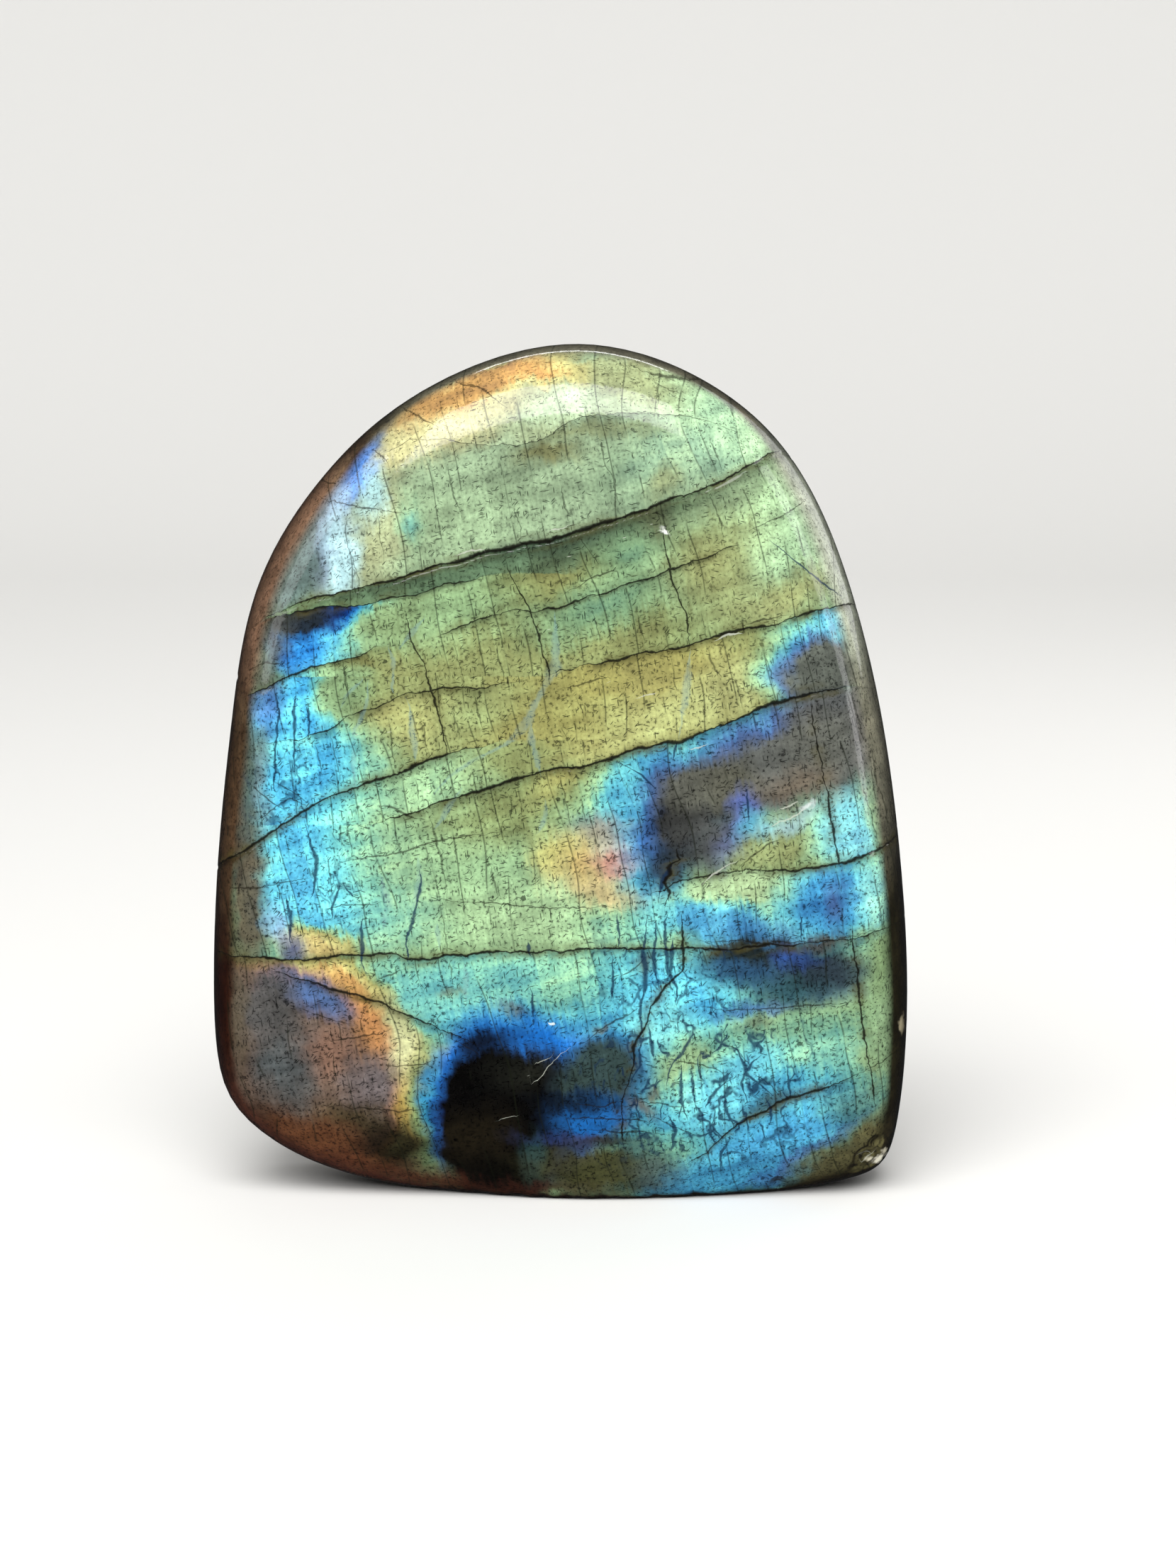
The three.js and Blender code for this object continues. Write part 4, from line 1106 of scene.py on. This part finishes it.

MARKS = {  # each mark's strength and colour, in the order in which they are laid
    # stain is painted olive-brown shade beside the seams
    "milk": (0.36, (116, 152, 156)), "stain": (0.7, (78, 72, 34)),
    "twins": (0.6, (22, 26, 14)), "threads": (0.72, (26, 22, 10)),
    "ink": (0.85, (12, 40, 70)), "seams": (0.93, (16, 14, 8)),
    # scratch glints and feather glints: painted highlights
    "scratch_glints": (0.7, (216, 220, 206)), "feather_glints": (0.6, (200, 204, 190)),
}


def drift_ovals(tree, ground, block_mm, grain):
    """Where the flash reads its ovals: drifting, frayed by the fibres, mirrored behind."""
    where = ground.mm
    for size, amounts, detail in OVAL_DRIFTS:
        where = drifted(tree, where, block_mm, size, amounts, detail)
    fray = add(tree, "CombineXYZ", [0, 0, spread(tree, grain.fibres, OVAL_FRAY, 0)]).outputs[0]
    where = vector_maths(tree, "ADD", where, fray)
    behind = maths(tree, "GREATER_THAN", ground.facing, 0.0)
    mirrored = vector_maths(tree, "MULTIPLY_ADD", where, MIRRORED, MIRROR_SHIFT)
    return mixed(tree, behind, where, mirrored, "VECTOR")


def flash_colour(tree, sides, where, grain):
    """The play of colour, its milky veil, and the glazes over it."""
    order, glow, veil = lay_flash(tree, sides, where)
    stray = spread(tree, grain.fibres, FIBRE_STRAY, 0.0)
    for name, amount in STRAYS.items():
        stray = maths(tree, "ADD", stray, spread(tree, getattr(grain, name), amount, 0.0))
    swing = fade(tree, order, *STRAY_TURN)
    order = maths(tree, "MULTIPLY_ADD", stray, swing, order)
    colour = lit(tree, flash_ramp(tree, order), glow)
    colour = mixed(tree, veil, colour, srgb(*MILK))
    return lay_glazes(tree, sides, where, colour, GLAZES)


def body_colour(tree, sides, ground, grain):
    """The stone's own colour, seen where it turns away and the flash goes out, with a painted
    highlight on the upper right rim and painted shade, dimmer at the sides and behind.
    """
    pale = fade(tree, grain.clouds, *BODY_CLOUDS)
    body = mixed(tree, pale, srgb(*DARK_BODY), srgb(*PALE_BODY))
    body = lay_glazes(tree, sides, ground.mm, body, RIM_GLAZES)
    return lit(tree, body, fade(tree, ground.facing, *BODY_PAINTED_SHADE))


def flash_share(tree, ground):
    """How much the flash shows: wholly on the show face, and in dull patches behind."""
    crown = fade(tree, ground.unit_z, *in_height(*CROWN_HEIGHTS), *CROWN_HELP)
    front = fade(tree, maths(tree, "ADD", ground.facing, crown), *FRONT_FLASH)
    back = maths(tree, "MULTIPLY", fade(tree, ground.facing, *BEHIND_FLASH),
                 fade(tree, cloudy(tree, ground.mm, BACK_PATCHES), *BACK_FLASH))
    return maths(tree, "ADD", front, back)


def inner_light(tree, ground, grain, seam_band, needle):
    """Light and shade within the stone: the grain, dark specks, the seams' painted shade and
    needles.
    """
    light = spread(tree, grain.fibres, FIBRE_SHADE, STONE_LIGHT)
    for name, amount in SHADES.items():
        light = maths(tree, "MULTIPLY", light, spread(tree, getattr(grain, name), amount))
    dark = fade(tree, ground.unit_z, *in_height(*SPECK_HEIGHTS), *SPECK_LIGHT)
    light = maths(tree, "MULTIPLY", light, fade(tree, grain.specks, *SPECK_NOISE, dark, 1.0))
    light = maths(tree, "MULTIPLY", light, fade(tree, seam_band, *SEAM_SHADE))
    return maths(tree, "MULTIPLY", light, fade(tree, needle, *NEEDLE_SHADE))


def draw_marks(tree, ground, sides, grain, seam_line, seam_halo):
    """Every line and scratch, from 0 to 1."""
    milk = draw_lines(tree, ground, MILK_VEINS, False)
    milk = maths(tree, "MULTIPLY", milk, fade(tree, grain.clouds, *MILK_CLOUDS))
    # stain: painted olive-brown shade beside the seams, broken up by the streaks
    stain = maths(tree, "MULTIPLY", seam_halo, fade(tree, grain.streaks, *SEAM_SHADE_STREAKS))
    # feather glints: painted highlights along open cracks
    feather_glints = draw_lines(tree, ground, FEATHER_GLINTS, True)
    twins = highest(tree, [draw_lines(tree, ground, TWINS, False), grain.twin_line])
    threads = draw_lines(tree, ground, THREADS, True)
    ink = highest(tree, [draw_lines(tree, ground, INK_VEINS, False),
                         spread_crackle(tree, ground, sides)])
    scratch_glints = scatter_scratches(tree, ground, sides)
    return {"milk": milk, "stain": stain, "twins": twins, "threads": threads, "ink": ink,
            "seams": seam_line, "scratch_glints": scratch_glints, "feather_glints": feather_glints}


def polished_labradorite():
    """The stone's material, and each seam's work for the groove that follows it."""
    material = bpy.data.materials.new("polished_labradorite")
    material.use_nodes = True
    tree = material.node_tree
    tree.nodes.clear()
    surface = add(tree, "BsdfPrincipled")
    add(tree, "OutputMaterial", {"Surface": surface.outputs[0]})
    ground = lay_ground(tree)
    line_group()
    oval_group()

    seams = {seam.name: cut_seam(tree, ground, seam, lying) for seam, lying in SEAMS}
    sides = Sides(tree, seams)
    seam_line = highest(tree, [work.line for work in seams.values()])
    seam_band = highest(tree, [work.band for work in seams.values() if work.band])
    seam_halo = highest(tree, [work.halo for work in seams.values()])
    block, (block_mm, block_leaned) = lay_blocks(tree, ground, seams)
    grain = raise_grain(tree, ground, block, block_mm, block_leaned)
    needle = scatter_needles(tree, ground)

    flash = flash_colour(tree, sides, drift_ovals(tree, ground, block_mm, grain), grain)
    body = body_colour(tree, sides, ground, grain)
    colour = mixed(tree, flash_share(tree, ground), body, flash)
    colour = lit(tree, colour, inner_light(tree, ground, grain, seam_band, needle))

    spark_where = drifted(tree, ground.mm, ground.mm, SPARK_DRIFT_SIZE, SPARK_DRIFT)
    marks = draw_marks(tree, ground, sides, grain, seam_line, seam_halo)
    for name, (strength, tint) in MARKS.items():
        colour = mixed(tree, maths(tree, "MULTIPLY", marks[name], strength), colour, srgb(*tint))
    # The painted glints, laid over everything on the front
    sparks = lay_glazes(tree, sides, spark_where, colour, GLINTS)
    colour = mixed(tree, fade(tree, ground.facing, *SPARK_FACING), colour, sparks)

    # A trace of relief, as the grain takes the polish a little unevenly
    bump = add(tree, "Bump", {"Strength": 0.12, "Distance": 0.05 * MM, "Height": grain.specks})
    feed(tree, surface, {
        "Base Color": colour, "Roughness": 0.42, "Specular IOR Level": 0.15,
        "Normal": bump.outputs[0], "Coat Weight": 1.0, "Coat Roughness": 0.06, "Coat IOR": 1.5,
        "Coat Normal": bump.outputs[0]})
    return material, seams


# ---------------------------------------------------------------- the stone's surface
RIM_STEPS = 1440
SPLINE_PASSES = 20  # enough for the spline's control points to settle


def rim_curve():
    """Points along the closed cubic B-spline that passes through the points of RIM."""
    count = len(RIM)
    controls = [Vector(point) for point in RIM]
    for _ in range(SPLINE_PASSES):
        controls = [
            (6 * Vector(RIM[i]) - controls[i - 1] - controls[(i + 1) % count]) / 4
            for i in range(count)]
    curve = []
    for step in range(RIM_STEPS * 2):
        at = step / (RIM_STEPS * 2) * count
        first, u = int(at), at - int(at)
        weights = ((1 - u) ** 3, 3 * u**3 - 6 * u**2 + 4, -3 * u**3 + 3 * u**2 + 3 * u + 1, u**3)
        point = Vector((0, 0))
        for i, weight in enumerate(weights):
            point += controls[(first + i - 1) % count] * (weight / 6)
        curve.append(point)
    return curve


def rim_table():
    """The rim's point for each step of angle round HEART."""
    by_angle = sorted((math.atan2(p.y - HEART.y, p.x - HEART.x), p.x, p.y) for p in rim_curve())
    table, place = [], 0
    for step in range(RIM_STEPS):
        angle = -math.pi + 2 * math.pi * step / RIM_STEPS
        while place < len(by_angle) and by_angle[place][0] < angle:
            place += 1
        before, after = by_angle[place - 1], by_angle[place % len(by_angle)]
        gap = (after[0] - before[0]) % (2 * math.pi)
        share = ((angle - before[0]) % (2 * math.pi)) / gap
        table.append(Vector(before[1:]).lerp(Vector(after[1:]), share))
    return table


RIM_TABLE = rim_table()


def rim_at(angle):
    """The rim's point at an angle round HEART."""
    at = (angle + math.pi) / (2 * math.pi) * RIM_STEPS
    first = math.floor(at)
    return RIM_TABLE[first % RIM_STEPS].lerp(RIM_TABLE[(first + 1) % RIM_STEPS], at - first)


def polish_waves(x, z, front):
    """How uneven the hand-polished faces are: faint waves in front, broad hollows behind."""
    if front:
        return 0.3 * math.sin(x / 9 + 1) * math.sin(z / 12 + 0.6) + 0.15 * math.sin(x / 6 - z / 8)
    return 1.1 * math.sin(x / 13 + 2) * math.sin(z / 15 + 1.1) + 0.5 * math.sin(z / 9 + x / 12)


def eased(share):
    """A share, kept from 0 to 1, that starts and ends gently."""
    share = min(max(share, 0), 1)
    return share * share * (3 - 2 * share)


def face_depth(height, front):
    """How far a face stands from the plane of the rim, at a share of the stone's height."""
    if front:
        return FRONT_DEPTH - FRONT_LEAN * height**1.6
    return BACK_DEPTH - BACK_LEAN * height**1.8


def ground_flat(height):
    """A height with all below the base ground away, and the arris softened."""
    if height < -ARRIS:
        return 0
    if height < ARRIS:
        return (height + ARRIS) ** 2 / (4 * ARRIS)
    return height


def on_stone(direction):
    """The point of the stone's surface that a point of the unit sphere stands for."""
    front = direction.y < 0
    climb = math.asin(min(1, abs(direction.y))) / (math.pi / 2)
    rim = rim_at(math.atan2(direction.z, direction.x))
    reach = (rim - HEART).length
    rounding = FRONT_ROUND if front else BACK_ROUND
    rounding += CROWN_ROUND * eased((rim.y - CROWN_FROM) / (TALL - CROWN_FROM))
    rounding += FOOT_ROUND * eased((FOOT_FROM - rim.y) / (FOOT_FROM - FOOT_END))
    if climb < EDGE_SHARE:
        angle = climb / EDGE_SHARE * math.pi / 2
        size = (math.cos(angle) ** EDGE_POWER + math.sin(angle) ** EDGE_POWER) ** (1 / EDGE_POWER)
        inward = rounding * (1 - math.cos(angle) / size)
        rise = math.sin(angle) / size
    else:
        share = (climb - EDGE_SHARE) / (1 - EDGE_SHARE)
        inward = rounding + (reach - rounding) * share
        rise = 1
    flat = rim.lerp(HEART, inward / reach)
    depth = face_depth(min(max(flat.y / TALL, 0), 1), front)
    depth = depth * (1 - DOME * (1 - inward / reach) ** 2) + polish_waves(flat.x, flat.y, front)
    return Vector((flat.x, (-depth if front else depth) * rise, ground_flat(flat.y)))


# ---------------------------------------------------------------- its grooves and chips
FAR = 99  # farther than any place on the stone
DEEP = 30  # about how deep the stone is, from front to back
GROOVE = 0.32  # half the width of a seam's groove
OPEN = 0.4  # how wide a seam's line is where its groove has its full depth
NEAR = 4  # how far to either side of its path a seam is looked for
SHELL, SHELL_WAVE = 0.2, 9  # how strong and how close the ripples in a chip are

# Places where the stone has lost a flake or a grain, on its show face.
Chip = namedtuple("Chip", "middle radius depth")
CHIPS = [
    Chip((36.3, 4.6), 1.9, 0.55), Chip((37.2, 6.6), 1.1, 0.3), Chip((34.9, 3.2), 0.9, 0.25),
    Chip((25.7, 1.6), 1.0, 0.25), Chip((12, 79.2), 0.5, 0.12), Chip((-19.6, 87.2), 0.5, 0.12),
    Chip((-38, 61), 0.5, 0.1), Chip((-20.8, 58.6), 0.35, 0.08), Chip((-6.9, 41), 0.4, 0.08),
    Chip((13.6, 40.9), 0.7, 0.14), Chip((12.3, 38.6), 0.6, 0.14), Chip((-1, 22.3), 0.4, 0.1),
    Chip((16.3, 66.3), 0.7, 0.1), Chip((7.2, 18.6), 0.35, 0.08), Chip((-27.6, 5.6), 0.4, 0.08),
]


class Groove:
    """A seam as the surface sees it: where it runs and how deep it is."""

    def __init__(self, seam, lying, work):
        self.seam, self.lying, self.work = seam, lying, work
        points = along_across(seam.path, lying)
        self.start, self.end = points[0][0], points[-1][0]
        spare = NEAR + DEEP * abs(seam.dip)
        self.low = min(point[1] for point in points) - spare
        self.high = max(point[1] for point in points) + spare

    def offset(self, point):
        """How far a point is from the seam and how open the seam is there, or None."""
        place, across = (point.x, point.z) if self.lying else (point.z, point.x)
        if not (self.start < place < self.end and self.low < across < self.high):
            return None
        (at, level), = in_span([(place, across)], self.lying)
        path, width = self.work.path_curve, self.work.width_curve
        away = (level - path.evaluate(path.curves[0], at)) * SPAN
        away -= self.seam.dip * (point.y - FACE)
        return away, width.evaluate(width.curves[0], at) * WIDEST


def nearest_groove(grooves, point):
    """(distance, width, depth) of the nearest seam."""
    best = (FAR, 0, 0)
    for groove in grooves:
        found = groove.offset(point)
        if found and found[1] > 0 and abs(found[0]) < abs(best[0]):
            best = (*found, groove.seam.depth)
    return best


def nearest_chip(point):
    """How far a point is from the nearest chip's edge, and the chip."""
    if point.y > 0:
        return FAR, None
    flat = Vector((point.x, point.z))
    return min(((flat - Vector(chip.middle)).length - chip.radius, chip) for chip in CHIPS)


def cut_surface(bm, grooves):
    """Lowers the surface along its seams and into its chips."""
    bm.normal_update()
    for vert in bm.verts:
        cut = 0
        offset, width, depth = nearest_groove(grooves, vert.co)
        if abs(offset) < GROOVE and vert.co.z > ARRIS:
            cut = depth * min(1, width / OPEN) * (1 - abs(offset) / GROOVE)
        away, chip = nearest_chip(vert.co)
        if away < 0:
            share = 1 + away / chip.radius
            cut += chip.depth * (1 - share**2) * (1 + SHELL * math.sin(SHELL_WAVE * share))
        vert.co -= vert.normal * cut


# ---------------------------------------------------------------- its mesh
FINE, PLAIN = 0.24, 1.3  # edge lengths in a groove and on the plain surface
GROWTH = 0.6  # how much longer an edge may be for each millimetre away from a groove
SLACK = 1.5  # how many times its length an edge may reach before it is split
PASSES = 5


def with_neighbours(edges):
    """The edges, and every third edge of a face that has two of them."""
    chosen, waiting = set(edges), list(edges)
    while waiting:
        for face in waiting.pop().link_faces:
            rest = [edge for edge in face.edges if edge not in chosen]
            if len(rest) == 1:
                chosen.add(rest[0])
                waiting.append(rest[0])
    return chosen


def edge_wanted(grooves, point):
    """How long an edge may be at a point of the surface."""
    away = min(abs(nearest_groove(grooves, point)[0]) - GROOVE, nearest_chip(point)[0])
    return max(FINE, min(PLAIN, FINE + GROWTH * away))


def stone_mesh(grooves):
    """A ball drawn out to the stone's form, finest along its grooves and in its chips."""
    bm = bmesh.new()
    bmesh.ops.create_icosphere(bm, subdivisions=6, radius=1)
    place = {}
    for _ in range(PASSES):
        for vert in bm.verts:
            if vert not in place:
                point = on_stone(vert.co)
                place[vert] = (point, edge_wanted(grooves, point))
        long = []
        for edge in bm.edges:
            (start, fine), (end, other) = place[edge.verts[0]], place[edge.verts[1]]
            if (end - start).length > SLACK * min(fine, other):
                long.append(edge)
        if not long:
            break
        long = with_neighbours(long)
        bmesh.ops.subdivide_edges(bm, edges=[edge for edge in bm.edges if edge in long], cuts=1,
                                  use_single_edge=True, use_grid_fill=True)
        for vert in bm.verts:
            vert.co.normalize()
    for vert in bm.verts:
        vert.co = on_stone(vert.co)
    cut_surface(bm, grooves)
    return bm


def fit_to_box(bm):
    """Turns the millimetres into metres and lays the stone exactly in its box."""
    low = Vector([min(vert.co[axis] for vert in bm.verts) for axis in range(3)])
    high = Vector([max(vert.co[axis] for vert in bm.verts) for axis in range(3)])
    for vert in bm.verts:
        for axis in range(3):
            share = (vert.co[axis] - low[axis]) / (high[axis] - low[axis])
            vert.co[axis] = STONE_LOW[axis] + share * (STONE_HIGH[axis] - STONE_LOW[axis])


def smooth_object(name, bm, material):
    """A smooth-shaded object in the scene, made from a finished bmesh."""
    for face in bm.faces:
        face.smooth = True
    mesh = bpy.data.meshes.new(name)
    bm.to_mesh(mesh)
    bm.free()
    mesh.materials.append(material)
    made = bpy.data.objects.new(name, mesh)
    bpy.context.scene.collection.objects.link(made)
    return made


def make_stone():
    material, seams = polished_labradorite()
    bm = stone_mesh([Groove(seam, lying, seams[seam.name]) for seam, lying in SEAMS])
    fit_to_box(bm)
    stone = smooth_object("labradorite_freeform", bm, material)
    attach(stone, "root")
    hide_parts("labradorite_stone")


# ---------------------------------------------------------------- floor, in metres
FLOOR_REACH = 1.6  # half the floor's width, and the backdrop's height
FLOOR_SHIFT = 0.5  # how far the floor's middle is before the stone
FLOOR_CURVE, FLOOR_SEGMENTS = 0.5, 16  # the sweep from the floor to the backdrop


def pale_floor():
    material = bpy.data.materials.new("pale_floor")
    material.use_nodes = True
    tree = material.node_tree
    feed(tree, tree.nodes["Principled BSDF"], {
        "Base Color": srgb(228, 227, 224), "Roughness": 0.8, "Specular IOR Level": 0.1})
    return material


def make_floor():
    bm = bmesh.new()
    bmesh.ops.create_grid(bm, x_segments=1, y_segments=1, size=FLOOR_REACH)
    back = [edge for edge in bm.edges if all(vert.co.y > 0 for vert in edge.verts)]
    raised = bmesh.ops.extrude_edge_only(bm, edges=back)["geom"]
    bmesh.ops.translate(bm, vec=(0, 0, FLOOR_REACH),
                        verts=[item for item in raised if isinstance(item, bmesh.types.BMVert)])
    bmesh.ops.translate(bm, vec=(0, -FLOOR_SHIFT, 0), verts=bm.verts)
    fold = [edge for edge in bm.edges
            if all(vert.co.z == 0 and vert.co.y > 0 for vert in edge.verts)]
    bmesh.ops.bevel(bm, geom=fold, offset=FLOOR_CURVE, segments=FLOOR_SEGMENTS, profile=0.5,
                    affect="EDGES", material=-1)
    bmesh.ops.recalc_face_normals(bm, faces=bm.faces)
    floor = smooth_object("floor", bm, pale_floor())
    floor.visible_glossy = False  # the dark stone would mirror it as a grey veil


# ---------------------------------------------------------------- light, in metres and watts
LIT_POINT = (0, 0, 0.06)  # what every lamp points at
LAMPS = [  # name, place, width and height, power
    ("crown box", (-0.03, -0.36, 0.56), (0.66, 0.25), 2.6),
    ("crown line", (0, 0.3, 0.5), (0.4, 0.03), 0.3),
    ("left box", (-0.46, -0.16, 0.3), (0.18, 0.4), 0.42),
    ("rim box", (0.34, 0.26, 0.26), (0.2, 0.36), 0.3),
    ("right strip", (0.48, -0.14, 0.24), (0.13, 0.4), 0.45),
]
EVEN_POWER, EVEN_SPREAD = 2.3, 50  # the even light's strength, and its size in degrees
EVEN_WAY = (0.12, 0.62, -0.78)  # the way it shines
PALE = (0.64, 0.635, 0.62, 1)  # what the camera sees past the floor
ROOM = (0.085, 0.088, 0.09, 1)  # what lights the stone from there
GLOSS_ROOM = (0.016, 0.016, 0.017, 1)  # what its polish mirrors


def aimed(name, item, way):
    """An object that holds a lamp or the camera and points it some way."""
    holder = bpy.data.objects.new(name, item)
    holder.rotation_euler = Vector(way).to_track_quat("-Z", "Y").to_euler()
    bpy.context.scene.collection.objects.link(holder)
    return holder


def light_evenly():
    """A broad soft light over the whole room, which leaves no highlight."""
    lamp = bpy.data.lights.new("even light", "SUN")
    lamp.energy = EVEN_POWER
    lamp.angle = math.radians(EVEN_SPREAD)
    aimed("even light", lamp, EVEN_WAY).visible_glossy = False


def hang_softbox(name, place, size, power):
    lamp = bpy.data.lights.new(name, "AREA")
    lamp.shape = "RECTANGLE"
    lamp.size, lamp.size_y = size
    lamp.energy = power
    holder = aimed(name, lamp, Vector(LIT_POINT) - Vector(place))
    holder.location = place
    holder.visible_camera = False


def make_room():
    """The room past the floor: pale to look at, dimmer as light, and dark in the polish."""
    world = bpy.data.worlds.new("studio")
    world.use_nodes = True
    tree = world.node_tree
    rays = add(tree, "LightPath").outputs
    room = mixed(tree, rays["Is Glossy Ray"], ROOM, GLOSS_ROOM)
    room = mixed(tree, rays["Is Camera Ray"], room, PALE)
    feed(tree, tree.nodes["Background"], {"Color": room})
    bpy.context.scene.world = world
    bpy.context.scene.view_settings.view_transform = "Standard"


def light_studio():
    light_evenly()
    for lamp in LAMPS:
        hang_softbox(*lamp)
    make_room()


# ---------------------------------------------------------------- camera, in metres
CAMERA_RISE = 10  # degrees above level
CAMERA_AWAY = 0.45
CAMERA_AIM = Vector((0.00325, 0, 0.04775))
VIEW_TALL = 0.1862  # how much of the stone's plane the picture's height takes in


def place_camera():
    camera = bpy.data.cameras.new("camera")
    camera.sensor_width = 36
    camera.lens = camera.sensor_width / 2 / (VIEW_TALL / 2 / CAMERA_AWAY)
    camera.clip_start = 0.01
    rise = math.radians(CAMERA_RISE)
    back = Vector((0, -math.cos(rise), math.sin(rise)))
    holder = aimed("camera", camera, -back)
    holder.location = CAMERA_AIM + back * CAMERA_AWAY
    bpy.context.scene.camera = holder


make_stone()
make_floor()
light_studio()
place_camera()
